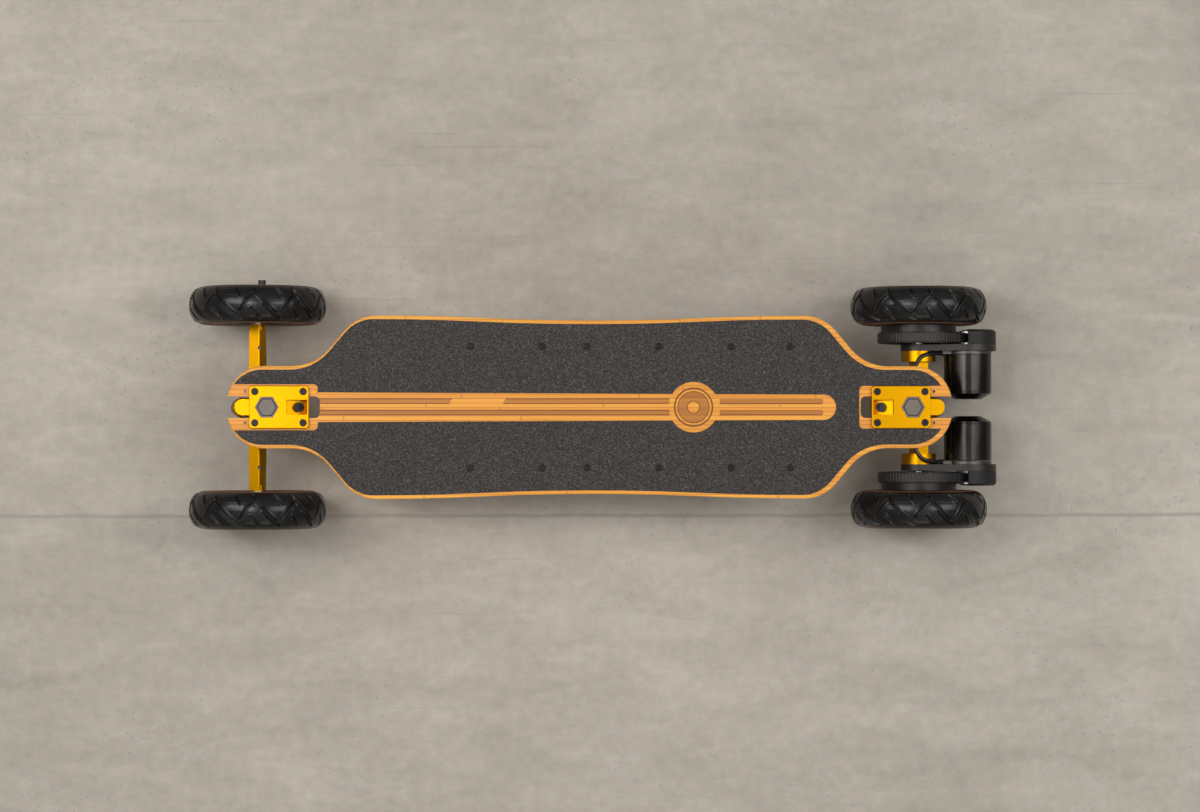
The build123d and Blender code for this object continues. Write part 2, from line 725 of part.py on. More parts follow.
for side_name, side in SIDES.items():
    with BuildPart() as wheel_pulley:
        with BuildSketch(y_plane(XR, BELT_IN, AXLE_Z, side)):
            toothed(TEETH_WHEEL, TIP_WHEEL, 2.0, 1.45)
            Circle(46.5, mode=Mode.SUBTRACT)
        extrude(amount=BELT_OUT - BELT_IN)
        for y1, y2, r1, r2 in ((101.4, 111.0, 50.5, 14.5), (110.5, WY - 6.0, 36.0, 28.0)):
            with BuildSketch(y_plane(XR, y1, AXLE_Z, side)):
                Circle(r1)
                Circle(r2, mode=Mode.SUBTRACT)
            extrude(amount=y2 - y1)
        with BuildSketch(y_plane(XR, 100.0, AXLE_Z, side)):
            with PolarLocations(42.0, 10):
                Circle(3.2)
        extrude(amount=12.0, mode=Mode.SUBTRACT)
    save(wheel_pulley, f"{side_name}_wheel_pulley")

    with BuildPart() as motor_pulley:
        with BuildSketch(y_plane(XM, 86.2, AXLE_Z, side)):
            toothed(TEETH_MOTOR, TIP_MOTOR, 2.0, 1.45)
        extrude(amount=15.6)
        for y in (85.3, 101.7):
            with BuildSketch(y_plane(XM, y, AXLE_Z, side)):
                Circle(15.4)
            extrude(amount=1.0)
        with BuildSketch(y_plane(XM, 85.0, AXLE_Z, side)):
            Circle(4.02)
        extrude(amount=20.0, mode=Mode.SUBTRACT)
    save(motor_pulley, f"{side_name}_motor_pulley")

    # rotor: can with a conical end bell, and the ring of magnets glued in it
    with BuildPart() as rotor_can:
        with BuildSketch(Plane(origin=(XM, 0, AXLE_Z), x_dir=(0, side, 0), z_dir=(side, 0, 0))):
            with BuildLine():
                Polyline(
                    (11.5, 4.02), (11.5, 18.0), (19.0, 31.4), (20.6, 31.4), (20.6, MOTOR_R), (21.4, MOTOR_R),
                    (21.4, 31.6), (22.2, 31.6), (22.2, MOTOR_R),
                    (71.4, MOTOR_R), (71.4, 29.5), (22.0, 29.5), (17.0, 20.0), (17.0, 9.0), (22.0, 9.0),
                    (22.0, 4.02), close=True,
                )
            make_face()
        revolve(axis=Axis((XM, 0, AXLE_Z), (0, 1, 0)))
        with BuildSketch(y_plane(XM, 24.5, AXLE_Z, side)):
            with BuildLine():
                h = radians(10.5)
                RadiusArc((29.4 * cos(h), -29.4 * sin(h)), (29.4 * cos(h), 29.4 * sin(h)), -29.4)
                Line((29.4 * cos(h), 29.4 * sin(h)), (27.2 * cos(h), 27.2 * sin(h)))
                RadiusArc((27.2 * cos(h), 27.2 * sin(h)), (27.2 * cos(h), -27.2 * sin(h)), 27.2)
                Line((27.2 * cos(h), -27.2 * sin(h)), (29.4 * cos(h), -29.4 * sin(h)))
            magnet = make_face()
            with PolarLocations(0, 13, start_angle=360 / 14, angular_range=360 * 13 / 14):
                add(magnet)
        extrude(amount=38.0)
    save(rotor_can, f"{side_name}_rotor_can")

    with BuildPart() as motor_shaft:
        with BuildSketch(y_plane(XM, 11.6, AXLE_Z, side)):
            Circle(4.0)
        extrude(amount=91.0)
    save(motor_shaft, f"{side_name}_motor_shaft")

# flat plates from the hanger's flanges to the motors
with BuildPart() as motor_mounts:
    for side in (1, -1):
        with BuildSketch(y_plane(XR, 76.4, AXLE_Z, side)):
            Circle(24.0)
            with Locations((MOTOR_C, 0)):
                Circle(38.3)
            with BuildLine():
                Polyline(*tangent_outline(MOTOR_C, 24.0, 38.3), close=True)
            make_face()
            Circle(10.05, mode=Mode.SUBTRACT)
            with Locations((MOTOR_C, 0)):
                Circle(9.2, mode=Mode.SUBTRACT)
            with PolarLocations(17.0, 4, start_angle=45):
                Circle(2.1, mode=Mode.SUBTRACT)
            with Locations((MOTOR_C, 0)):
                with PolarLocations(15.0, 4, start_angle=45):
                    Circle(2.1, mode=Mode.SUBTRACT)
        extrude(amount=8.6)
        with BuildSketch(y_plane(XR + 34.0, 82.6, AXLE_Z, side)):
            RectangleRounded(22.0, 26.0, 6.0)
        extrude(amount=4.0, mode=Mode.SUBTRACT)
save(motor_mounts, "motor_mounts")

# stators: base disc with a cable lug, bearing tube, bearings, core, windings
with BuildPart() as motor_stators:
    for side in (1, -1):
        with BuildSketch(y_plane(XM, 72.0, AXLE_Z, side)):
            Circle(MOTOR_R)
            with Locations((-30.0, -side * 15.5)):
                RectangleRounded(14.0, 9.0, 2.0)
        extrude(amount=4.4)
        with BuildSketch(y_plane(XM, 23.0, AXLE_Z, side)):
            Circle(11.0)
        extrude(amount=49.0)
        with BuildSketch(y_plane(XM, 22.9, AXLE_Z, side)):
            Circle(8.0)
        extrude(amount=54.0, mode=Mode.SUBTRACT)
        with BuildSketch(y_plane(XM, 71.0, AXLE_Z, side)):
            with PolarLocations(15.0, 4, start_angle=45):
                Circle(1.9)
        extrude(amount=6.0, mode=Mode.SUBTRACT)
        for y in (24.0, 70.0):
            with BuildSketch(y_plane(XM, y, AXLE_Z, side)):
                Circle(7.98)
                Circle(4.0 + RUN, mode=Mode.SUBTRACT)
            extrude(amount=6.0)
        with BuildSketch(y_plane(XM, 26.0, AXLE_Z, side)):
            Circle(26.6)
            Circle(24.2, mode=Mode.SUBTRACT)
            with PolarLocations(25.4, 12, start_angle=15):
                Rectangle(4.0, 2.4, mode=Mode.SUBTRACT)
            with PolarLocations(19.8, 12):
                Rectangle(10.0, 4.2)
            Circle(16.0)
            Circle(9.5, mode=Mode.SUBTRACT)
        extrude(amount=36.0)
        with BuildSketch(y_plane(XM, 24.6, AXLE_Z, side)):
            with PolarLocations(19.4, 12, start_angle=15):
                Rectangle(7.0, 3.4)
        extrude(amount=38.8)
        # cable gland on the base's lug
        with BuildSketch(Plane(origin=(XR + 31.48, side * 72.79, 102.88), z_dir=(-13.2, side * 0.3, 10.0))):
            Circle(3.4)
        extrude(amount=5.9)
save(motor_stators, "motor_stators")

# screws that hold the mounts to the hanger and the motors to the mounts
with BuildPart() as mount_screws:
    for side in (1, -1):
        for cx, r, y in ((XR, 17.0, 67.0), (XM, 15.0, 73.0)):
            with BuildSketch(y_plane(cx, y, AXLE_Z, side)):
                with PolarLocations(r, 4, start_angle=45):
                    Circle(1.85)
            extrude(amount=85.0 - y)
    for side in (1, -1):
        for cx, r in ((XR, 17.0), (XM, 15.0)):
            with BuildSketch(y_plane(cx, 85.0, AXLE_Z, side)):
                with PolarLocations(r, 4, start_angle=45):
                    Circle(3.4 if cx == XR else 3.2)
            extrude(amount=0.25)
save(mount_screws, "mount_screws")

# belts: plain bands standing in for the toothed belts, lying on both pulleys
with BuildPart() as drive_belts:
    for side in (1, -1):
        with BuildSketch(y_plane(XR, BELT_IN, AXLE_Z, side)):
            Circle(TIP_WHEEL + RUN + 1.72)
            with Locations((MOTOR_C, 0)):
                Circle(TIP_MOTOR + RUN + 1.72)
            with BuildLine():
                Polyline(*tangent_outline(MOTOR_C, TIP_WHEEL + RUN + 1.72, TIP_MOTOR + RUN + 1.72), close=True)
            make_face()
            with BuildSketch(mode=Mode.PRIVATE) as inside:
                Circle(TIP_WHEEL + RUN)
                with Locations((MOTOR_C, 0)):
                    Circle(TIP_MOTOR + RUN)
                with BuildLine():
                    Polyline(*tangent_outline(MOTOR_C, TIP_WHEEL + RUN, TIP_MOTOR + RUN), close=True)
                make_face()
            add(inside.sketch, mode=Mode.SUBTRACT)
        extrude(amount=BELT_OUT - BELT_IN)
save(drive_belts, "drive_belts")

# belt covers: cups over the motor pulleys, open towards the wheel
with BuildPart() as belt_covers:
    for side in (1, -1):
        with BuildSketch(y_plane(XM, 85.05, AXLE_Z, side)):
            Circle(38.3)
            with Locations((-34.7, 0)):
                Rectangle(60.0, 80.0, mode=Mode.SUBTRACT)
        extrude(amount=20.0)
    outer_rim = belt_covers.edges().filter_by(
        lambda e: abs(abs(e.center().Y) - 105.05) < 0.01 and e.geom_type == GeomType.CIRCLE
    )
    chamfer(outer_rim, 3.0)
    for side in (1, -1):
        with BuildSketch(y_plane(XM, 85.0, AXLE_Z, side)):
            Circle(35.9)
            with Locations((-34.9, 0)):
                Rectangle(60.0, 80.0, mode=Mode.SUBTRACT)
            with Locations((-7.0, 0)):
                Rectangle(10.0, 69.0)
        extrude(amount=17.9, mode=Mode.SUBTRACT)
save(belt_covers, "belt_covers")


# ---------------------------------------------------------------------------
# Motor leads. Each is split at the clip on the carriage, because it crosses
# both steering axes. (distance from the rear axle, |Y|, height)
# ---------------------------------------------------------------------------
LEAD_R = 2.75
LEAD_OUTER = [
    (26.7, 72.9, 106.5), (13.5, 73.2, 116.5), (-1.0, 68.5, 121.6), (-9.0, 56.5, 122.8),
    (-11.0, 43.0, 122.0), (-14.5, 33.5, 121.0), (-20.5, 27.6, 120.0), (-29.0, 24.0, 119.2),
]
LEAD_INNER = [
    (-29.0, 24.0, 119.2), (-38.35, 20.04, 118.32), (-50.0, 19.4, 118.8), (-66.0, 21.8, 120.8),
    (-92.0, 28.2, 124.6), (-126.0, 33.0, 126.5), (-161.0, 33.0, 126.5),
]


def lead(points, side, name):
    pts = [Vector(XR + x, side * y, z) for x, y, z in points]
    radii = []
    for a, b, c in zip(pts, pts[1:], pts[2:]):
        bend = radians((b - a).get_angle(c - b))
        radii.append(0.45 * min((b - a).length, (c - b).length) / tan(bend / 2))
    with BuildPart() as tube:
        with BuildLine() as path:
            FilletPolyline(*pts, radius=radii)
        with BuildSketch(Plane(origin=pts[0], z_dir=pts[1] - pts[0])):
            Circle(LEAD_R)
        sweep(path=path.line)
    long = sum(e.length for e in path.edges())
    print(name, "length", round(long, 1), "volume ratio", round(tube.part.volume / (pi * LEAD_R**2 * long), 4),
          "radii", [round(r, 1) for r in radii])
    save(tube, name)


for side_name, side in SIDES.items():
    lead(LEAD_OUTER, side, f"{side_name}_outer_lead")
    lead(LEAD_INNER, side, f"{side_name}_inner_lead")

# clips on the carriage, round the leads where they are split
with BuildPart() as cable_clips:
    for side in (1, -1):
        (x1, y1, z1), (x2, y2, z2) = LEAD_INNER[:2]
        along = Vector(x2 - x1, side * (y2 - y1), z2 - z1).normalized()
        middle = Vector(XR + x1, side * y1, z1)
        with BuildSketch(Plane(origin=middle - along * 2.4, z_dir=along)):
            Circle(4.6)
        extrude(amount=4.8)
        with BuildSketch(Plane((XR + x1, side * (8.52 + y1 - 2.0) / 2, z1 - 1.5))):
            Rectangle(4.8, y1 - 2.0 - 8.52)
        extrude(amount=3.0)
        with BuildSketch(Plane(origin=middle - along * 8.0, z_dir=along)):
            Circle(LEAD_R + 0.1)
        extrude(amount=16.0, mode=Mode.SUBTRACT)
save(cable_clips, "cable_clips")


# ---------------------------------------------------------------------------
# Electronics boxes under the deck.
# ---------------------------------------------------------------------------
GLAND_Y, GLAND_Z = 33.0, 126.5


def make_box(x1, x2, floor, screws):
    """Tub with a flange against the deck; x1 and x2 bound the flange."""
    mid, long = (x1 + x2) / 2, x2 - x1
    with BuildPart() as tub:
        with BuildSketch(Plane((X0 + mid, 0, floor))):
            RectangleRounded(long - 12.0, 146.0, 12.0)
        extrude(amount=DECK_BOTTOM - floor)
        fillet(tub.edges().group_by(Axis.Z)[0], 9.0)
        with BuildSketch(Plane((X0 + mid, 0, DECK_BOTTOM - 4.0))):
            RectangleRounded(long, 184.0, 14.0)
        extrude(amount=4.0)
        for x in screws:
            for y in (DECK_SCREW_Y, -DECK_SCREW_Y):
                with BuildSketch(Plane((X0 + x, y, DECK_BOTTOM - 12.0))):
                    Circle(7.0)
                    with Locations((0, -5.0 if y > 0 else 5.0)):
                        Rectangle(14.0, 10.0)
                extrude(amount=12.0)
        with BuildSketch(Plane((X0 + mid, 0, floor + 3.0))):
            RectangleRounded(long - 18.0, 140.0, 9.0)
        extrude(amount=60.0, mode=Mode.SUBTRACT)
        with BuildSketch(Plane((X0, 0, DECK_BOTTOM - 20.0))):
            for x in screws:
                with Locations((x, DECK_SCREW_Y), (x, -DECK_SCREW_Y)):
                    Circle(2.42)
        extrude(amount=30.0, mode=Mode.SUBTRACT)
    return tub


PORT_X, PORT_Z = X0 - 140.0, 122.0
BUTTON_X, BUTTON_Z = X0 - 92.0, 122.0
WALL_Y = 73.0

rear_box = make_box(-18.0, 278.0, 94.0, DECK_SCREW_X[2:])
with BuildPart() as rear_enclosure:
    add(rear_box.part)
    with BuildSketch(Plane(origin=(X0 + 262.0, 0, 0), x_dir=(0, 1, 0), z_dir=(1, 0, 0))):
        with Locations((GLAND_Y, GLAND_Z), (-GLAND_Y, GLAND_Z)):
            Circle(5.0)
    extrude(amount=20.0, mode=Mode.SUBTRACT)
    # two low ribs along the floor, for the skids of rough ground
    with BuildSketch(Plane((X0 + 130.0, 0, 92.6))):
        with Locations((0, 40), (0, -40)):
            RectangleRounded(220.0, 8.0, 3.0)
    extrude(amount=2.0)
save(rear_enclosure, "rear_enclosure")

front_box = make_box(-174.0, -51.0, 104.0, DECK_SCREW_X[:2])
with BuildPart() as front_enclosure:
    add(front_box.part)
    with BuildSketch(Plane(origin=(0, -WALL_Y + 6, 0), x_dir=(1, 0, 0), z_dir=(0, -1, 0))):
        with Locations((PORT_X, PORT_Z)):
            Circle(9.05)
        with Locations((BUTTON_X, BUTTON_Z)):
            Circle(7.5)
    extrude(amount=20.0, mode=Mode.SUBTRACT)
save(front_enclosure, "front_enclosure")

with BuildPart() as cable_glands:
    for y in (GLAND_Y, -GLAND_Y):
        with BuildSketch(Plane(origin=(X0 + 264.0, y, GLAND_Z), z_dir=(1, 0, 0))):
            Circle(4.98)
        extrude(amount=10.0)
        with BuildSketch(Plane(origin=(X0 + 272.05, y, GLAND_Z), z_dir=(1, 0, 0))):
            RegularPolygon(7.0, 6)
        extrude(amount=5.0)
        with BuildSketch(Plane(origin=(X0 + 276.9, y, GLAND_Z), z_dir=(1, 0, 0))):
            Circle(5.0)
        with BuildSketch(Plane(origin=(X0 + 284.0, y, GLAND_Z), z_dir=(1, 0, 0))):
            Circle(3.4)
        loft()
save(cable_glands, "cable_glands")

with BuildPart() as battery_cells:
    for i in range(10):
        for z in (106.8, 125.6):
            for y in (1.5, -66.5):
                with BuildSketch(Plane(origin=(X0 + 4.0 + 18.8 * i, y, z), z_dir=(0, 1, 0))):
                    Circle(9.15)
                extrude(amount=65.0)
save(battery_cells, "battery_cells")

with BuildPart() as control_boards:
    for y in (34.0, -34.0):
        with BuildSketch(Plane((X0 + 231.0, y, 97.2))):
            RectangleRounded(58.0, 62.0, 2.0)
        extrude(amount=16.0)
        with BuildSketch(Plane((X0 + 231.0, y, 113.2))):
            with GridLocations(12.0, 14.0, 4, 3):
                Circle(4.5)
        extrude(amount=9.0)
    with BuildSketch(Plane((X0 - 112.0, 18.0, 107.2))):
        RectangleRounded(90.0, 80.0, 2.0)
    extrude(amount=2.0)
    with BuildSketch(Plane((X0 - 112.0, 18.0, 109.2))):
        with GridLocations(20.0, 24.0, 4, 3):
            Rectangle(12.0, 12.0)
    extrude(amount=5.0)
save(control_boards, "control_boards")

with BuildPart() as charge_socket:
    with BuildSketch(Plane(origin=(PORT_X, -59.0, PORT_Z), x_dir=(1, 0, 0), z_dir=(0, -1, 0))):
        Circle(9.0)
    extrude(amount=14.02)
    with BuildSketch(Plane(origin=(PORT_X, -73.02, PORT_Z), x_dir=(1, 0, 0), z_dir=(0, -1, 0))):
        Circle(11.0)
        with Locations((0, 10.5)):
            Rectangle(16.0, 8.0)
    extrude(amount=2.0)
    for dx in (-6.5, 6.5):
        with BuildSketch(Plane(origin=(PORT_X + dx - 1.5, 0, 0), x_dir=(0, 1, 0), z_dir=(1, 0, 0))):
            with Locations((-77.0, PORT_Z + 13.0)):
                Circle(1.8)
            with Locations((-75.9, PORT_Z + 13.0)):
                Rectangle(2.4, 3.0)
        extrude(amount=3.0)
    with BuildSketch(Plane(origin=(PORT_X - 6.0, -77.0, PORT_Z + 13.0), z_dir=(1, 0, 0))):
        Circle(1.0)
    extrude(amount=12.0)
    with BuildSketch(Plane(origin=(PORT_X, -62.0, PORT_Z), x_dir=(1, 0, 0), z_dir=(0, -1, 0))):
        Circle(6.0)
    extrude(amount=16.0, mode=Mode.SUBTRACT)
save(charge_socket, "charge_socket")

with BuildPart() as charge_cap:
    with BuildSketch(Plane(origin=(PORT_X, -75.1, PORT_Z), x_dir=(1, 0, 0), z_dir=(0, -1, 0))):
        Circle(10.5)
        with Locations((0, 6.5)):
            Rectangle(9.0, 13.0)
    extrude(amount=2.4)
    fillet(charge_cap.edges().group_by(Axis.Y)[0], 0.6)
    with BuildSketch(Plane(origin=(PORT_X - 4.5, -77.0, PORT_Z + 13.0), z_dir=(1, 0, 0))):
        Circle(1.8)
    extrude(amount=9.0)
    with BuildSketch(Plane(origin=(PORT_X, -74.1, PORT_Z), x_dir=(1, 0, 0), z_dir=(0, -1, 0))):
        Circle(5.2)
    extrude(amount=1.2)
    with BuildSketch(Plane(origin=(PORT_X - 6.0, -77.0, PORT_Z + 13.0), z_dir=(1, 0, 0))):
        Circle(1.0 + RUN)
    extrude(amount=12.0, mode=Mode.SUBTRACT)
save(charge_cap, "charge_cap")

with BuildPart() as power_button:
    with BuildSketch(Plane(origin=(BUTTON_X, -69.8, BUTTON_Z), x_dir=(1, 0, 0), z_dir=(0, -1, 0))):
        Circle(7.42)
    extrude(amount=5.6)
    fillet(power_button.edges().group_by(Axis.Y)[0], 0.8)
    with BuildSketch(Plane(origin=(BUTTON_X, -68.2, BUTTON_Z), x_dir=(1, 0, 0), z_dir=(0, -1, 0))):
        Circle(9.0)
    extrude(amount=1.7)
save(power_button, "power_button")
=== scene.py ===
import json
import math

import bmesh
import bpy
import numpy as np
from mathutils import Matrix, Vector


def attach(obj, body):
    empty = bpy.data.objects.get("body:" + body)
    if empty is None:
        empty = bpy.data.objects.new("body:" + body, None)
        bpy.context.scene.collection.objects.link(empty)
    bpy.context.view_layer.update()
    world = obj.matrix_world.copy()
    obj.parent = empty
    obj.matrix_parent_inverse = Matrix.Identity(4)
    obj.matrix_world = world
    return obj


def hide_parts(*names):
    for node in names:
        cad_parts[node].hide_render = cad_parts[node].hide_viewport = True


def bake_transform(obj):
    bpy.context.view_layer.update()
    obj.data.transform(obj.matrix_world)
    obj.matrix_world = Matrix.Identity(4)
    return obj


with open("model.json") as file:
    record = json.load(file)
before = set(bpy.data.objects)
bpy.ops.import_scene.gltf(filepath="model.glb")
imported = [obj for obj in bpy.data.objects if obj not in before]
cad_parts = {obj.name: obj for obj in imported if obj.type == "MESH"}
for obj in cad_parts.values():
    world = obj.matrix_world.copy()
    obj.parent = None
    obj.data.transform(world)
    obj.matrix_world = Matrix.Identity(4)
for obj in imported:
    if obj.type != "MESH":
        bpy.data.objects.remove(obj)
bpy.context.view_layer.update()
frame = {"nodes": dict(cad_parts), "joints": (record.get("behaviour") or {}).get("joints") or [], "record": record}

NODES = frame["nodes"]
JOINTS = {j["name"]: j for j in frame["joints"]}
scene = bpy.context.scene

# ---------------------------------------------------------------------------
# Camera: almost straight down on the deck, a long lens, no shift.
# ---------------------------------------------------------------------------
cam_data = bpy.data.cameras.new("camera")
cam = bpy.data.objects.new("camera", cam_data)
scene.collection.objects.link(cam)
cam_data.sensor_width = 36.0
cam_data.lens = 3079.2 / 1200.0 * 36.0
cam_data.clip_start, cam_data.clip_end = 0.1, 60.0
cam.location = (-0.1478, -0.0431, 4.2335)
cam.rotation_euler = (0.010967, -0.037401, -0.000424)
scene.camera = cam


# ---------------------------------------------------------------------------
# Material helpers
# ---------------------------------------------------------------------------
class Tree:
    """Short names for building a node tree."""

    def __init__(self, name):
        self.mat = bpy.data.materials.new(name)
        self.mat.use_nodes = True
        self.t = self.mat.node_tree
        self.t.nodes.clear()
        self.out = self.t.nodes.new("ShaderNodeOutputMaterial")
        self.bsdf = self.t.nodes.new("ShaderNodeBsdfPrincipled")
        self.t.links.new(self.bsdf.outputs[0], self.out.inputs[0])
        self.co = self.t.nodes.new("ShaderNodeTexCoord").outputs["Object"]

    def link(self, a, b):
        self.t.links.new(a, b)

    def put(self, socket, value):
        if isinstance(value, bpy.types.NodeSocket):
            self.link(value, socket)
        elif isinstance(value, (tuple, list)) and len(value) == 3 and socket.type == "RGBA":
            socket.default_value = (*value, 1.0)
        else:
            socket.default_value = value

    def math(self, op, a, b=None, c=None, clamp=False):
        n = self.t.nodes.new("ShaderNodeMath")
        n.operation = op
        n.use_clamp = clamp
        for i, v in enumerate((a, b, c)):
            if v is not None:
                self.put(n.inputs[i], v)
        return n.outputs[0]

    def vmath(self, op, a, b=None):
        n = self.t.nodes.new("ShaderNodeVectorMath")
        n.operation = op
        for i, v in enumerate((a, b)):
            if v is not None:
                self.put(n.inputs[i], v)
        return n.outputs["Value"] if op in ("LENGTH", "DOT_PRODUCT", "DISTANCE") else n.outputs[0]

    def split(self, v):
        n = self.t.nodes.new("ShaderNodeSeparateXYZ")
        self.link(v, n.inputs[0])
        return n.outputs

    def join(self, x, y, z):
        n = self.t.nodes.new("ShaderNodeCombineXYZ")
        for i, v in enumerate((x, y, z)):
            self.put(n.inputs[i], v)
        return n.outputs[0]

    def scale(self, v, s):
        n = self.t.nodes.new("ShaderNodeMapping")
        self.link(v, n.inputs[0])
        n.inputs["Scale"].default_value = s
        return n.outputs[0]

    def noise(self, v, scale, detail=3.0, rough=0.55, distort=0.0):
        n = self.t.nodes.new("ShaderNodeTexNoise")
        self.link(v, n.inputs["Vector"])
        n.inputs["Scale"].default_value = scale
        n.inputs["Detail"].default_value = detail
        n.inputs["Roughness"].default_value = rough
        n.inputs["Distortion"].default_value = distort
        return n.outputs["Fac"]

    def voronoi(self, v, scale, feature="F1", out="Distance"):
        n = self.t.nodes.new("ShaderNodeTexVoronoi")
        n.feature = feature
        self.link(v, n.inputs["Vector"])
        n.inputs["Scale"].default_value = scale
        return n.outputs[out]

    def white(self, v):
        n = self.t.nodes.new("ShaderNodeTexWhiteNoise")
        n.noise_dimensions = "3D"
        self.link(v, n.inputs["Vector"])
        return n.outputs["Value"]

    def ramp(self, f, stops):
        n = self.t.nodes.new("ShaderNodeValToRGB")
        self.put(n.inputs[0], f)
        e = n.color_ramp.elements
        while len(e) > 1:
            e.remove(e[-1])
        e[0].position = stops[0][0]
        e[0].color = (*stops[0][1], 1.0)
        for p, c in stops[1:]:
            k = e.new(p)
            k.color = (*c, 1.0)
        return n.outputs[0]

    def remap(self, f, a, b, c, d):
        n = self.t.nodes.new("ShaderNodeMapRange")
        self.put(n.inputs["Value"], f)
        for k, v in (("From Min", a), ("From Max", b), ("To Min", c), ("To Max", d)):
            n.inputs[k].default_value = v
        return n.outputs[0]

    def mix(self, f, a, b, blend="MIX"):
        n = self.t.nodes.new("ShaderNodeMix")
        n.data_type = "RGBA"
        n.blend_type = blend
        self.put(n.inputs[0], f)
        self.put(n.inputs[6], a)
        self.put(n.inputs[7], b)
        return n.outputs[2]

    def bump(self, height, distance, strength=1.0, normal=None):
        n = self.t.nodes.new("ShaderNodeBump")
        self.put(n.inputs["Height"], height)
        n.inputs["Distance"].default_value = distance
        n.inputs["Strength"].default_value = strength
        if normal is not None:
            self.link(normal, n.inputs["Normal"])
        return n.outputs[0]

    def bevel(self, radius, samples=4):
        n = self.t.nodes.new("ShaderNodeBevel")
        n.samples = samples
        n.inputs["Radius"].default_value = radius
        return n.outputs[0]

    def normal(self):
        return self.split(self.t.nodes.new("ShaderNodeNewGeometry").outputs["Normal"])

    def set(self, **kw):
        names = {
            "color": "Base Color", "rough": "Roughness", "metal": "Metallic", "normal": "Normal",
            "spec": "Specular IOR Level", "coat": "Coat Weight", "coat_rough": "Coat Roughness",
            "sheen": "Sheen Weight", "aniso": "Anisotropic", "sss": "Subsurface Weight",
        }
        for k, v in kw.items():
            self.put(self.bsdf.inputs[names[k]], v)
        return self.mat


def metal(name, base, rough=0.34, edge=0.0004, grain=None, spread=0.10, metallic=1.0, coat=0.0, bump=0.00003):
    """Machined or anodised metal: faint tool grain, cloudy tone, softened edges."""
    t = Tree(name)
    cloud = t.noise(t.co, 14.0, 4.0)
    fine = t.noise(t.scale(t.co, grain or (1.0, 1.0, 1.0)), 900.0, 2.0)
    tone = t.math("ADD", t.math("MULTIPLY", cloud, 0.6), t.math("MULTIPLY", fine, 0.4))
    lo = tuple(c * (1 - spread) for c in base)
    hi = tuple(min(1.0, c * (1 + spread)) for c in base)
    color = t.ramp(tone, [(0.3, lo), (0.7, hi)])
    r = t.remap(t.math("ADD", t.math("MULTIPLY", cloud, 0.5), t.math("MULTIPLY", fine, 0.5)), 0.3, 0.7, rough - 0.05, rough + 0.06)
    n = t.bump(fine, bump, 0.6, t.bevel(edge))
    return t.set(color=color, rough=r, metal=metallic, normal=n, coat=coat, coat_rough=0.25)


def plastic(name, base, rough=0.5, texture=1100.0, depth=0.00006, spread=0.18, edge=0.0004, coat=0.0, spec=0.5):
    """Moulded plastic or rubber: fine spark texture, slight wear in its tone."""
    t = Tree(name)
    cloud = t.noise(t.co, 22.0, 4.0)
    spark = t.noise(t.co, texture, 2.0)
    lo = tuple(c * (1 - spread) for c in base)
    hi = tuple(c * (1 + spread) for c in base)
    color = t.ramp(t.math("ADD", t.math("MULTIPLY", cloud, 0.7), t.math("MULTIPLY", spark, 0.3)), [(0.3, lo), (0.7, hi)])
    r = t.remap(cloud, 0.3, 0.7, rough - 0.05, rough + 0.07)
    n = t.bump(spark, depth, 0.7, t.bevel(edge))
    return t.set(color=color, rough=r, normal=n, coat=coat, coat_rough=0.2, spec=spec)


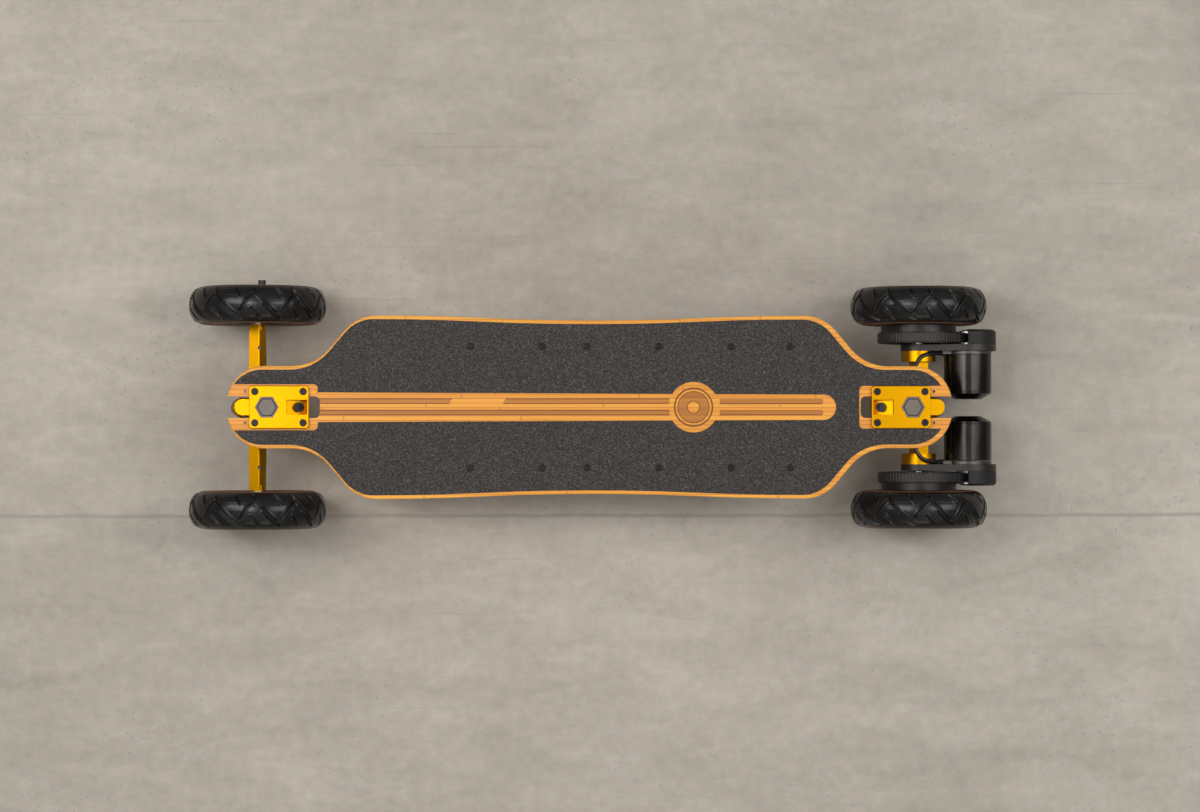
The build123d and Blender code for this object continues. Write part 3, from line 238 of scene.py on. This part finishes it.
def bamboo():
    t = Tree("bamboo")
    x, y, z = t.split(t.co)
    nx, ny, nz = t.normal()
    # strips of bamboo side by side, each with its own tone and growth rings
    strip = t.math("FLOOR", t.math("DIVIDE", y, 0.0058))
    tint = t.white(t.join(strip, 0.0, 0.0))
    inside = t.math("FRACT", t.math("DIVIDE", y, 0.0058))
    seam = t.math("MULTIPLY", t.math("LESS_THAN", t.math("MINIMUM", inside, t.math("SUBTRACT", 1.0, inside)), 0.085), 1.0)
    shift = t.join(t.math("ADD", x, t.math("MULTIPLY", tint, 3.0)), y, z)
    fibre = t.noise(t.scale(shift, (6.0, 900.0, 500.0)), 1.0, 4.0, 0.6)
    broad = t.noise(t.scale(shift, (5.0, 120.0, 60.0)), 1.0, 3.0, 0.5, 0.4)
    along = t.math("FRACT", t.math("ADD", t.math("DIVIDE", x, 0.235), t.math("MULTIPLY", tint, 7.3)))
    knot = t.math("LESS_THAN", t.math("ABSOLUTE", t.math("SUBTRACT", along, 0.5)), 0.0055)
    f = t.math("ADD", t.math("MULTIPLY", fibre, 0.40), t.math("ADD", t.math("MULTIPLY", broad, 0.28), t.math("MULTIPLY", tint, 0.32)))
    wood = t.ramp(f, [(0.22, (0.66, 0.235, 0.022)), (0.42, (0.86, 0.345, 0.036)), (0.60, (0.96, 0.430, 0.052)), (0.80, (0.99, 0.52, 0.085))])
    wood = t.mix(t.math("MULTIPLY", seam, 0.55), wood, (0.40, 0.14, 0.025))
    streak = t.noise(t.scale(shift, (9.0, 2400.0, 900.0)), 1.0, 3.0, 0.65)
    wood = t.mix(t.remap(streak, 0.50, 0.72, 0.0, 0.55), wood, (0.46, 0.165, 0.026))
    wood = t.mix(t.math("MULTIPLY", knot, 0.45), wood, (0.42, 0.15, 0.03))
    # engraved lines keep the darker brown of the cut fibres
    cut = t.math("MULTIPLY", t.math("LESS_THAN", z, 0.15562), t.math("LESS_THAN", t.math("ABSOLUTE", y), 0.036))
    cut = t.math("MULTIPLY", cut, t.math("LESS_THAN", t.math("ABSOLUTE", t.math("ADD", x, 0.007)), 0.3592))
    cut = t.math("MULTIPLY", cut, t.math("GREATER_THAN", z, 0.1545))
    # the bottom is a darker brown than the face; along the cut walls a painted shade adds thin dark lines
    brown = t.ramp(f, [(0.25, (0.36, 0.120, 0.015)), (0.75, (0.62, 0.245, 0.034))])
    mx = t.math("SUBTRACT", x, 0.129)
    rad = t.math("SQRT", t.math("ADD", t.math("MULTIPLY", mx, mx), t.math("MULTIPLY", y, y)))

    def nearest(v, marks):
        d = t.math("ABSOLUTE", t.math("SUBTRACT", v, marks[0]))
        for m in marks[1:]:
            d = t.math("MINIMUM", d, t.math("ABSOLUTE", t.math("SUBTRACT", v, m)))
        return d

    in_disc = t.math("LESS_THAN", rad, 0.0275)
    along_y = nearest(y, (0.0042, 0.0116, -0.0108, -0.0034))
    round_r = nearest(rad, (0.0262, 0.0240, 0.0214, 0.0075))
    wall = t.math("ADD", t.math("MULTIPLY", in_disc, round_r), t.math("MULTIPLY", t.math("SUBTRACT", 1.0, in_disc), along_y))
    # painted shade: near-black lines along the groove walls and the medallion rings, where the recess is in shadow
    brown = t.mix(t.remap(wall, 0.0005, 0.0018, 0.85, 0.0), brown, (0.135, 0.040, 0.007))
    wood = t.mix(cut, wood, brown)
    # on the edges the plies show as layers with end grain
    side = t.math("LESS_THAN", t.math("ABSOLUTE", nz), 0.55)
    ply = t.math("FRACT", t.math("DIVIDE", t.math("SUBTRACT", z, 0.144), 0.0048))
    line = t.math("LESS_THAN", t.math("MINIMUM", ply, t.math("SUBTRACT", 1.0, ply)), 0.05)
    dark_ply = t.math("GREATER_THAN", ply, 0.5)
    end = t.noise(t.scale(t.co, (260.0, 260.0, 900.0)), 1.0, 3.0)
    edge = t.ramp(t.math("ADD", t.math("MULTIPLY", end, 0.6), t.math("MULTIPLY", dark_ply, 0.22)), [(0.25, (0.95, 0.53, 0.15)), (0.70, (0.60, 0.26, 0.05))])
    edge = t.mix(t.math("MULTIPLY", line, 0.7), edge, (0.30, 0.11, 0.025))
    wood = t.mix(side, wood, edge)
    h = t.math("SUBTRACT", t.math("ADD", t.math("MULTIPLY", fibre, 0.7), t.math("MULTIPLY", broad, 0.3)), t.math("MULTIPLY", seam, 0.5))
    return t.set(color=wood, rough=t.remap(fibre, 0.3, 0.7, 0.36, 0.52), normal=t.bump(h, 0.00012, 0.8), coat=0.06, coat_rough=0.3, spec=0.4)


def grip():
    t = Tree("grip")
    big = t.noise(t.co, 9.0, 3.0)
    g1 = t.noise(t.co, 640.0, 2.0, 0.7)
    g2 = t.noise(t.co, 1500.0, 2.0, 0.7)
    grit_and_glint = t.math("ADD", t.math("MULTIPLY", g1, 0.6), t.math("MULTIPLY", g2, 0.4))
    # the grit's own dark tone, and the brightest specks are painted highlights standing for glints on the grains
    color = t.ramp(grit_and_glint, [(0.36, (0.009, 0.0082, 0.008)), (0.50, (0.034, 0.0305, 0.030)), (0.60, (0.105, 0.096, 0.093)), (0.69, (0.30, 0.28, 0.27))])
    color = t.mix(t.remap(big, 0.35, 0.65, 0.0, 0.12), color, (0.026, 0.024, 0.023))
    return t.set(color=color, rough=t.remap(g2, 0.35, 0.65, 0.62, 0.95), normal=t.bump(grit_and_glint, 0.00065, 1.0), spec=0.4)


def tyre_rubber():
    t = Tree("tyre_rubber")
    x, y, z = t.split(t.co)
    radius = t.math("SQRT", t.math("ADD", t.math("MULTIPLY", x, x), t.math("MULTIPLY", z, z)))
    cloud = t.noise(t.co, 26.0, 4.0)
    fine = t.noise(t.co, 1300.0, 2.0)
    black = t.ramp(t.math("ADD", t.math("MULTIPLY", cloud, 0.7), t.math("MULTIPLY", fine, 0.3)), [(0.3, (0.0045, 0.0042, 0.0044)), (0.7, (0.012, 0.0115, 0.0117))])
    tan = t.ramp(t.math("ADD", t.math("MULTIPLY", cloud, 0.6), t.math("MULTIPLY", fine, 0.4)), [(0.3, (0.125, 0.058, 0.030)), (0.7, (0.215, 0.104, 0.055))])
    outside = t.math("GREATER_THAN", t.math("ABSOLUTE", y), 0.0195)
    band = t.math("MULTIPLY", t.math("GREATER_THAN", radius, 0.0600), t.math("LESS_THAN", radius, 0.0786))
    band = t.math("MULTIPLY", band, outside)
    color = t.mix(band, black, tan)
    dust = t.noise(t.co, 60.0, 5.0, 0.7)
    color = t.mix(t.remap(dust, 0.55, 0.8, 0.0, 0.12), color, (0.08, 0.065, 0.055))
    rough = t.remap(cloud, 0.3, 0.7, 0.17, 0.28)
    rough = t.math("ADD", rough, t.math("MULTIPLY", band, 0.35))
    return t.set(color=color, rough=rough, normal=t.bump(fine, 0.00005, 0.7), spec=0.32)


def motor_can():
    """Dark anodised can: turned lines run round its axis."""
    t = Tree("motor_metal")
    x, y, z = t.split(t.co)
    turned = t.noise(t.join(0.0, t.math("MULTIPLY", y, 1.0), 0.0), 2600.0, 2.0)
    cloud = t.noise(t.co, 18.0, 4.0)
    color = t.ramp(t.math("ADD", t.math("MULTIPLY", turned, 0.4), t.math("MULTIPLY", cloud, 0.6)), [(0.3, (0.018, 0.0165, 0.0155)), (0.7, (0.032, 0.029, 0.0275))])
    n = t.bump(turned, 0.00002, 0.5, t.bevel(0.0006))
    return t.set(color=color, rough=t.remap(turned, 0.3, 0.7, 0.17, 0.25), metal=0.85, normal=n, aniso=0.35)


def gold():
    """Gold anodised metal; the small holes in the front arms get a painted black shade."""
    mat = metal("gold_metal", GOLD, rough=0.35, edge=0.0005, spread=0.05, coat=0.02)
    t = Tree.__new__(Tree)
    t.mat, t.t = mat, mat.node_tree
    t.bsdf = [n for n in t.t.nodes if n.type == "BSDF_PRINCIPLED"][0]
    t.co = t.t.nodes.new("ShaderNodeTexCoord").outputs["Object"]
    x, y, z = t.split(t.co)
    dx = t.math("SUBTRACT", x, JOINTS["front_left_spin"]["pos_m"][0] + 0.0032)
    dy = t.math("SUBTRACT", t.math("ABSOLUTE", y), 0.080)
    d = t.math("SQRT", t.math("ADD", t.math("MULTIPLY", dx, dx), t.math("MULTIPLY", dy, dy)))
    # painted shade: each small hole is filled with a flat black, non-metal disc that stands for the shadow inside it
    hole_shade = t.math("MULTIPLY", t.math("LESS_THAN", d, 0.00245), t.math("GREATER_THAN", z, 0.0980))
    base = t.bsdf.inputs["Base Color"].links[0].from_socket
    t.put(t.bsdf.inputs["Base Color"], t.mix(hole_shade, base, (0.006, 0.006, 0.006)))
    t.put(t.bsdf.inputs["Metallic"], t.math("SUBTRACT", 1.0, hole_shade))
    return mat


def badge():
    """Dull inlay; the groove near its edge gets a painted shade."""
    t = Tree("badge_metal")
    cloud = t.noise(t.co, 30.0, 4.0)
    brushed = t.noise(t.scale(t.co, (2.0, 60.0, 1.0)), 60.0, 3.0)
    x, y, z = t.split(t.co)
    groove = t.math("LESS_THAN", z, 0.16012)
    color = t.ramp(t.math("ADD", t.math("MULTIPLY", cloud, 0.5), t.math("MULTIPLY", brushed, 0.5)), [(0.3, (0.120, 0.104, 0.094)), (0.7, (0.205, 0.180, 0.162))])
    # painted shade: the recessed groove near the edge is painted near black
    color = t.mix(groove, color, (0.014, 0.012, 0.011))
    return t.set(color=color, rough=t.remap(cloud, 0.3, 0.7, 0.42, 0.55), metal=0.55, normal=t.bump(brushed, 0.00003, 0.6, t.bevel(0.0003)))


GOLD = (0.56, 0.268, 0.0012)
MATS = {
    "bamboo": bamboo(),
    "grip": grip(),
    "gold_metal": gold(),
    "badge_metal": badge(),
    "black_steel": plastic("black_steel", (0.0055, 0.0052, 0.005), rough=0.36, texture=600.0, depth=0.00002, edge=0.0003, spec=0.30),
    "steel": metal("steel", (0.55, 0.54, 0.52), rough=0.30, edge=0.0003),
    "bearing_steel": metal("bearing_steel", (0.66, 0.66, 0.67), rough=0.18, edge=0.0002),
    "bushing_rubber": plastic("bushing_rubber", (0.020, 0.019, 0.018), rough=0.5, edge=0.0005),
    "black_plastic": plastic("black_plastic", (0.026, 0.025, 0.025), rough=0.55, texture=700.0, depth=0.00012, edge=0.0008),
    "cover_plastic": plastic("cover_plastic", (0.014, 0.0136, 0.0136), rough=0.50, texture=900.0, depth=0.00008, edge=0.0008, spec=0.28),
    "hub_plastic": plastic("hub_plastic", (0.010, 0.0097, 0.010), rough=0.32, edge=0.0006, coat=0.15),
    "pulley_plastic": plastic("pulley_plastic", (0.011, 0.0095, 0.009), rough=0.34, edge=0.0002, spec=0.35),
    "cell_wrap": plastic("cell_wrap", (0.02, 0.10, 0.32), rough=0.35),
    "circuit_board": plastic("circuit_board", (0.012, 0.10, 0.035), rough=0.4, texture=400.0),
    "cable_sheath": plastic("cable_sheath", (0.010, 0.0095, 0.009), rough=0.22, texture=500.0, depth=0.00002),
    "tyre_rubber": tyre_rubber(),
    "tube_rubber": plastic("tube_rubber", (0.018, 0.018, 0.018), rough=0.5),
    "belt_rubber": plastic("belt_rubber", (0.013, 0.011, 0.010), rough=0.46, texture=1500.0, depth=0.0001),
    "arm_metal": metal("arm_metal", (0.034, 0.030, 0.028), rough=0.40, edge=0.0006, spread=0.18, metallic=0.6),
    "motor_metal": motor_can(),
    "base_metal": metal("base_metal", (0.085, 0.080, 0.076), rough=0.36, edge=0.0005, metallic=0.8),
}

slot_of = {s["node"]: s["material_slot"] for s in frame["record"]["subparts"]}
for name, ob in NODES.items():
    ob.data.materials.clear()
    ob.data.materials.append(MATS[slot_of[name]])


def piece(name, verts, faces, slot, smooth=True, location=(0, 0, 0)):
    me = bpy.data.meshes.new(name)
    me.from_pydata([tuple(v) for v in verts], [], [tuple(f) for f in faces])
    me.validate()
    me.update()
    bm = bmesh.new()
    bm.from_mesh(me)
    bmesh.ops.recalc_face_normals(bm, faces=bm.faces)
    bm.to_mesh(me)
    bm.free()
    if smooth:
        me.polygons.foreach_set("use_smooth", [True] * len(me.polygons))
    me.materials.append(MATS[slot])
    ob = bpy.data.objects.new(name, me)
    ob.location = location
    scene.collection.objects.link(ob)
    return ob


# ---------------------------------------------------------------------------
# Tyres: road tread with long slanted grooves, each joined by a shorter leg,
# and short cuts at both shoulders; ten repeats round the tyre.
# ---------------------------------------------------------------------------
PERIOD = 36.0
R_TREAD = 0.091
GROOVES = [   # (points as degrees round, millimetres across), half width, depth
    ([(0.0, 21.2), (3.2, 12.5), (9.6, 2.4), (15.7, -7.0), (21.0, -12.6)], 1.15, 2.5),
    ([(8.4, -1.6), (12.6, -8.6), (18.6, -15.2), (25.6, -20.2)], 1.0, 2.2),
    ([(0.8, 13.0), (-4.2, 6.4), (-8.2, -2.2), (-11.4, -10.4)], 1.05, 2.3),
    ([(-16.4, 20.6), (-10.5, 9.8)], 1.1, 2.2),
    ([(-1.5, -6.4), (6.0, -19.2)], 1.05, 2.2),
]


def smooth_line(pts, steps=8):
    """Catmull-Rom through the points."""
    p = [np.array(q, float) for q in pts]
    p = [2 * p[0] - p[1]] + p + [2 * p[-1] - p[-2]]
    out = []
    for i in range(1, len(p) - 2):
        for k in range(steps):
            t = k / steps
            out.append(0.5 * (2 * p[i] + (p[i + 1] - p[i - 1]) * t + (2 * p[i - 1] - 5 * p[i] + 4 * p[i + 1] - p[i + 2]) * t * t + (3 * p[i] - p[i - 1] - 3 * p[i + 1] + p[i + 2]) * t ** 3))
    out.append(p[-2])
    return np.array(out)


def tread_depth(deg, mm):
    """How far the tread is cut below its surface at each point, in metres."""
    depth = np.zeros_like(deg)
    near = np.full_like(deg, 99.0)
    mm_per_deg = math.radians(1.0) * R_TREAD * 1000
    for pts, half, deep in GROOVES:
        line = smooth_line(pts)
        for wrap in (-PERIOD, 0.0, PERIOD):
            a = (line[:-1, 0] + wrap) * mm_per_deg
            b = (line[1:, 0] + wrap) * mm_per_deg
            for ax, ay, bx, by in zip(a, line[:-1, 1], b, line[1:, 1]):
                px, py = deg * mm_per_deg, mm
                dx, dy = bx - ax, by - ay
                t = np.clip(((px - ax) * dx + (py - ay) * dy) / (dx * dx + dy * dy), 0, 1)
                dist = np.hypot(px - ax - t * dx, py - ay - t * dy)
                k = np.clip((half + 0.35 - dist) / 0.7, 0, 1)
                depth = np.maximum(depth, deep * k * k * (3 - 2 * k))
                near = np.minimum(near, dist - half)
    # a low rounded lip runs along both sides of every cut
    lip = 0.60 * np.exp(-((near - 1.15) / 0.55) ** 2) * (near > 0.2)
    return (depth - lip * (depth < 0.05)) / 1000


def profile_points():
    """Half section of the tyre outside, from bead to bead: (across, radius)."""
    control = [
        (-18.3, 45.8), (-18.3, 50.6), (-19.6, 51.6), (-20.4, 53.0), (-22.6, 58.0), (-24.0, 62.6), (-24.7, 66.0), (-25.0, 69.0),
        (-24.8, 73.4), (-23.9, 77.6), (-22.4, 81.0), (-20.3, 83.7), (-17.0, 86.4), (-11.6, 89.0), (-6.0, 90.5), (0.0, 91.0),
    ]
    return control + [(-x, r) for x, r in reversed(control[:-1])]


def make_tyre_mesh():
    prof = np.array(profile_points())
    # resample by arc length, fine over the tread
    seg = np.hypot(*(prof[1:] - prof[:-1]).T)
    s = np.concatenate([[0], np.cumsum(seg)])
    dense = []
    i0 = 11
    i1 = len(prof) - 1 - i0
    coarse_a = np.linspace(0, s[i0 - 3], 16)[:-1]
    fine = np.arange(s[i0 - 3], s[i1 + 3], 0.62)
    coarse_b = np.linspace(s[i1 + 3], s[-1], 16)
    at = np.concatenate([coarse_a, fine, coarse_b])
    # smooth interpolation of the control polygon
    fineprof = smooth_line([tuple(q) for q in prof], 10)
    segf = np.hypot(*(fineprof[1:] - fineprof[:-1]).T)
    sf = np.concatenate([[0], np.cumsum(segf)])
    at = at / s[-1] * sf[-1]
    px = np.interp(at, sf, fineprof[:, 0])
    pr = np.interp(at, sf, fineprof[:, 1])
    # outward normals of the section
    tx, tr = np.gradient(px), np.gradient(pr)
    ln = np.hypot(tx, tr)
    nx, nr = -tr / ln, tx / ln
    flip = np.sign(nr[len(nr) // 2])
    nx, nr = nx * flip, nr * flip
    across = np.sign(px) * np.interp(np.abs(px), [0, 25], [0, 25])
    n_turn = 900
    deg = np.arange(n_turn) * 360.0 / n_turn
    D, V = np.meshgrid(deg % PERIOD, across, indexing="ij")
    depth = tread_depth(D, V) * 1000
    # only the tread is cut: fade to nothing on the sidewalls
    rr = np.broadcast_to(pr, depth.shape)
    depth = depth * np.clip((rr - 80.6) / 1.6, 0, 1)
    # fine rings moulded round the tread and the sidewalls
    ring = np.zeros_like(px)
    for centre, width, height in ((10.3, 0.35, -0.22), (-10.3, 0.35, -0.22), (3.4, 0.3, -0.16), (-3.4, 0.3, -0.16)):
        ring += height * np.exp(-((px - centre) / width) ** 2)
    for radius, width, height in ((60.0, 0.5, 0.55), (79.0, 0.45, 0.5), (55.5, 0.5, 0.35)):
        ring += height * np.exp(-((pr - radius) / width) ** 2) * (np.abs(px) > 17)
    # low radial ribs on the sidewall band
    rib = (np.abs(px) > 20) * np.clip((pr - 62.0) / 1.5, 0, 1) * np.clip((77.0 - pr) / 1.5, 0, 1)
    ribs = 0.22 * np.clip(np.sin(np.radians(deg) * 120)[:, None] * 1.6, -1, 1) * rib[None, :]
    off = ring[None, :] + ribs - depth
    Xs = px[None, :] + nx[None, :] * off
    Rs = pr[None, :] + nr[None, :] * off
    a = np.radians(deg)[:, None]
    verts = np.stack([Rs * np.sin(a), np.broadcast_to(Xs, Rs.shape), Rs * np.cos(a)], -1).reshape(-1, 3) / 1000
    m = len(px)
    faces = []
    for i in range(n_turn):
        j = (i + 1) % n_turn
        for k in range(m - 1):
            faces.append((i * m + k, j * m + k, j * m + k + 1, i * m + k + 1))
    # inner side: from the last bead back to the first, smooth
    inner = [(14.4, 45.8), (14.7, 52.0), (17.4, 58.0), (19.4, 70.0), (15.5, 81.0), (0.0, 85.4), (-15.5, 81.0), (-19.4, 70.0), (-17.4, 58.0), (-14.7, 52.0), (-14.4, 45.8)]
    base = len(verts)
    more = []
    for i in range(n_turn):
        for x, r in inner:
            more.append((r * math.sin(a[i, 0]) / 1000, x / 1000, r * math.cos(a[i, 0]) / 1000))
    q = len(inner)
    for i in range(n_turn):
        j = (i + 1) % n_turn
        for k in range(q - 1):
            faces.append((base + i * q + k, base + j * q + k, base + j * q + k + 1, base + i * q + k + 1))
        faces.append((i * m + m - 1, j * m + m - 1, base + j * q, base + i * q))
        faces.append((base + i * q + q - 1, base + j * q + q - 1, j * m, i * m))
    return list(map(tuple, verts)) + more, faces


tv, tf = make_tyre_mesh()
tyre_mesh = None
for name in ("front_left", "front_right", "rear_left", "rear_right"):
    centre = Vector(JOINTS[name + "_spin"]["pos_m"])
    if tyre_mesh is None:
        tyre = piece(name + "_tread_tyre", tv, tf, "tyre_rubber", location=centre)
        tyre_mesh = tyre.data
    else:
        tyre = bpy.data.objects.new(name + "_tread_tyre", tyre_mesh)
        tyre.location = centre
        scene.collection.objects.link(tyre)
    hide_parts(name + "_tyre")
    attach(tyre, name + "_wheel")

# ---------------------------------------------------------------------------
# Toothed belts, in mesh with both pulleys.
# ---------------------------------------------------------------------------
XR, ZR = JOINTS["rear_left_spin"]["pos_m"][0] * 1000, JOINTS["rear_left_spin"]["pos_m"][2] * 1000
XM = JOINTS["left_rotor_spin"]["pos_m"][0] * 1000
CENTRES = XM - XR
PITCH, R1, R2 = 5.0, 68 * 5.0 / (2 * math.pi), 16 * 5.0 / (2 * math.pi)


def belt_line(s):
    """Point and outward normal of the pitch line; s runs from the far side of the big pulley."""
    alpha = math.acos((R1 - R2) / CENTRES)
    big = R1 * (math.pi - alpha)
    run = math.sqrt(CENTRES ** 2 - (R1 - R2) ** 2)
    total = 2 * (big + run + R2 * alpha)
    s = s % total
    mirror = 1.0
    if s > total / 2:
        s, mirror = total - s, -1.0
    if s < big:
        a = math.pi - s / R1
        p, n = (R1 * math.cos(a), R1 * math.sin(a)), (math.cos(a), math.sin(a))
    elif s < big + run:
        n = (math.cos(alpha), math.sin(alpha))
        d = s - big
        p = (R1 * n[0] + d * math.sin(alpha), R1 * n[1] - d * math.cos(alpha))
    else:
        a = alpha - (s - big - run) / R2
        p, n = (CENTRES + R2 * math.cos(a), R2 * math.sin(a)), (math.cos(a), math.sin(a))
    return (p[0], p[1] * mirror), (n[0], n[1] * mirror), total


def make_belt(side):
    total = belt_line(0)[2]
    count = 74 * 20
    verts, faces = [], []
    for i in range(count):
        s = total * i / count
        (px, pz), (nx, nz), _ = belt_line(s)
        w = (s + PITCH / 2) % (total / 74) - PITCH / 2
        land = -0.50
        tooth = math.sqrt(max(0.0, 1.3 ** 2 - w * w))
        inner = land - (tooth + 0.45 if tooth > 0.35 else tooth * 2.2)
        back = 1.19 - 0.34 * math.exp(-(((s % (total / 74)) - PITCH / 2) / 0.55) ** 2)
        for off, y in ((inner, 88.0), (back - 0.25, 88.0), (back, 88.4), (back, 99.6), (back - 0.25, 100.0), (inner, 100.0)):
            verts.append(((XR + px + nx * off) / 1000, side * y / 1000, (ZR + pz + nz * off) / 1000))
    for i in range(count):
        j = (i + 1) % count
        for k in range(6):
            q = (k + 1) % 6
            faces.append((i * 6 + k, j * 6 + k, j * 6 + q, i * 6 + q))
    ob = piece(("left" if side > 0 else "right") + "_toothed_belt", verts, faces, "belt_rubber", smooth=False)
    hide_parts("drive_belts")
    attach(ob, "rear_hanger")


make_belt(1)
make_belt(-1)

# ---------------------------------------------------------------------------
# Motor leads: limp, smooth, from the motor to the clip on the carriage and on
# to the gland of the rear box.
# ---------------------------------------------------------------------------
OUTER = [
    (26.7, 72.9, 106.5), (13.5, 73.2, 116.5), (-1.0, 68.5, 121.6), (-9.0, 56.5, 122.8),
    (-11.0, 43.0, 122.0), (-14.5, 33.5, 121.0), (-20.5, 27.6, 120.0), (-29.0, 24.0, 119.2),
]
INNER = [
    (-29.0, 24.0, 119.2), (-38.35, 20.04, 118.32), (-50.0, 19.4, 118.8), (-66.0, 21.8, 120.8),
    (-92.0, 28.2, 124.6), (-126.0, 33.0, 126.5), (-161.0, 33.0, 126.5),
]
LEAD_D = 0.0055


def make_lead(name, points, side, start, end, node):
    pts = [Vector(((XR + x) / 1000, side * y / 1000, z / 1000)) for x, y, z in points]
    cu = bpy.data.curves.new(name + "_line", "CURVE")
    cu.dimensions = "3D"
    sp = cu.splines.new("NURBS")
    sp.points.add(len(pts) - 1)
    for p, v in zip(sp.points, pts):
        p.co = (*v, 1.0)
    sp.order_u = 3
    sp.use_endpoint_u = True
    sp.resolution_u = 14
    line = bpy.data.objects.new(name + "_line", cu)
    scene.collection.objects.link(line)
    bpy.context.view_layer.update()
    dg = bpy.context.evaluated_depsgraph_get()
    bare = bpy.data.meshes.new_from_object(line.evaluated_get(dg))
    path = [v.co.copy() for v in bare.vertices]
    cu.bevel_depth = LEAD_D / 2
    cu.bevel_resolution = 6
    cu.use_fill_caps = True
    bpy.context.view_layer.update()
    dg = bpy.context.evaluated_depsgraph_get()
    me = bpy.data.meshes.new_from_object(line.evaluated_get(dg))
    bpy.data.objects.remove(line)
    me.name = name
    me.materials.clear()
    me.materials.append(MATS["cable_sheath"])
    me.polygons.foreach_set("use_smooth", [True] * len(me.polygons))
    ob = bpy.data.objects.new(name, me)
    scene.collection.objects.link(ob)
    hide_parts(node)
    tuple(start(path))
    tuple(end(path))
    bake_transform(ob)
    return ob


for word, side in (("left", 1), ("right", -1)):
    make_lead(
        word + "_motor_lead", OUTER, side,
        lambda p: p[0], lambda p: p[-1], word + "_outer_lead",
    )
    make_lead(
        word + "_box_lead", INNER, side,
        lambda p: p[0], lambda p: p[-1], word + "_inner_lead",
    )

# ---------------------------------------------------------------------------
# Floor, light and world.
# ---------------------------------------------------------------------------
def floor_mat():
    t = Tree("floor")
    x, y, z = t.split(t.co)
    a = t.noise(t.co, 1.6, 5.0, 0.6)
    b = t.noise(t.co, 60.0, 4.0, 0.6)
    c = t.noise(t.scale(t.co, (3.0, 9.0, 1.0)), 2.2, 6.0, 0.65, 0.6)
    f = t.math("ADD", t.math("MULTIPLY", a, 0.40), t.math("ADD", t.math("MULTIPLY", b, 0.25), t.math("MULTIPLY", c, 0.35)))
    color = t.ramp(f, [(0.36, (0.365, 0.333, 0.294)), (0.50, (0.455, 0.418, 0.372)), (0.64, (0.555, 0.515, 0.462))])
    pores = t.math("MULTIPLY", t.math("LESS_THAN", t.voronoi(t.co, 95.0), 0.13), t.remap(t.noise(t.co, 4.0, 3.0), 0.45, 0.60, 0.0, 1.0))
    color = t.mix(t.math("MULTIPLY", pores, 0.45, clamp=True), color, (0.22, 0.20, 0.175))
    scratch = t.noise(t.scale(t.co, (2.2, 210.0, 1.0)), 1.0, 2.0, 0.5, 0.3)
    color = t.mix(t.remap(scratch, 0.68, 0.76, 0.0, 0.25), color, (0.26, 0.235, 0.205))
    wave = t.math("MULTIPLY", t.math("SUBTRACT", t.noise(t.co, 9.0, 3.0), 0.5), 0.006)
    line = t.math("ABSOLUTE", t.math("ADD", t.math("ADD", y, 0.1475), wave))
    color = t.mix(t.remap(line, 0.0012, 0.0035, 0.55, 0.0), color, (0.30, 0.275, 0.245))
    return t.set(color=color, rough=0.75, normal=t.bump(t.math("ADD", b, t.math("MULTIPLY", c, 0.5)), 0.0006, 0.4), spec=0.2)


me = bpy.data.meshes.new("floor")
me.from_pydata([(-30, -30, 0), (30, -30, 0), (30, 30, 0), (-30, 30, 0)], [], [(0, 1, 2, 3)])
floor = bpy.data.objects.new("floor", me)
scene.collection.objects.link(floor)
me.materials.append(floor_mat())


def area(name, at, target, size, power, color=(1, 1, 1)):
    d = bpy.data.lights.new(name, "AREA")
    d.shape = "RECTANGLE"
    d.size, d.size_y = size
    d.energy = power
    d.color = color
    o = bpy.data.objects.new(name, d)
    o.location = at
    o.rotation_euler = (Vector(target) - Vector(at)).to_track_quat("-Z", "Y").to_euler()
    scene.collection.objects.link(o)
    return o


area("key", (-1.45, 0.45, 2.4), (0.0, 0.0, 0.1), (0.65, 2.2), 30.0, (1.0, 0.975, 0.94))
area("front", (-0.85, 0.12, 3.0), (-0.42, 0.0, 0.16), (0.5, 0.6), 2.8, (1.0, 0.99, 0.96))
area("fill", (1.75, 0.35, 2.3), (0.1, 0.0, 0.1), (0.7, 2.0), 22.0, (1.0, 0.985, 0.96))
area("low", (0.2, -2.6, 1.6), (0.0, 0.0, 0.1), (2.4, 0.8), 8.0, (1.0, 0.98, 0.95))

world = bpy.data.worlds.new("world")
world.use_nodes = True
wt = world.node_tree
bg = wt.nodes["Background"]
# brighter straight above than at the horizon, like a room with a lit ceiling
wco = wt.nodes.new("ShaderNodeTexCoord").outputs["Generated"]
wz = wt.nodes.new("ShaderNodeSeparateXYZ")
wt.links.new(wco, wz.inputs[0])
wr = wt.nodes.new("ShaderNodeValToRGB")
wt.links.new(wz.outputs[2], wr.inputs[0])
e = wr.color_ramp.elements
e[0].position, e[0].color = 0.0, (0.20, 0.19, 0.18, 1.0)
e[1].position, e[1].color = 1.0, (0.86, 0.84, 0.80, 1.0)
m = e.new(0.72)
m.color = (0.34, 0.33, 0.315, 1.0)
m = e.new(0.93)
m.color = (0.66, 0.645, 0.615, 1.0)
wt.links.new(wr.outputs[0], bg.inputs[0])
bg.inputs[1].default_value = 1.0
scene.world = world
scene.view_settings.view_transform = "Standard"
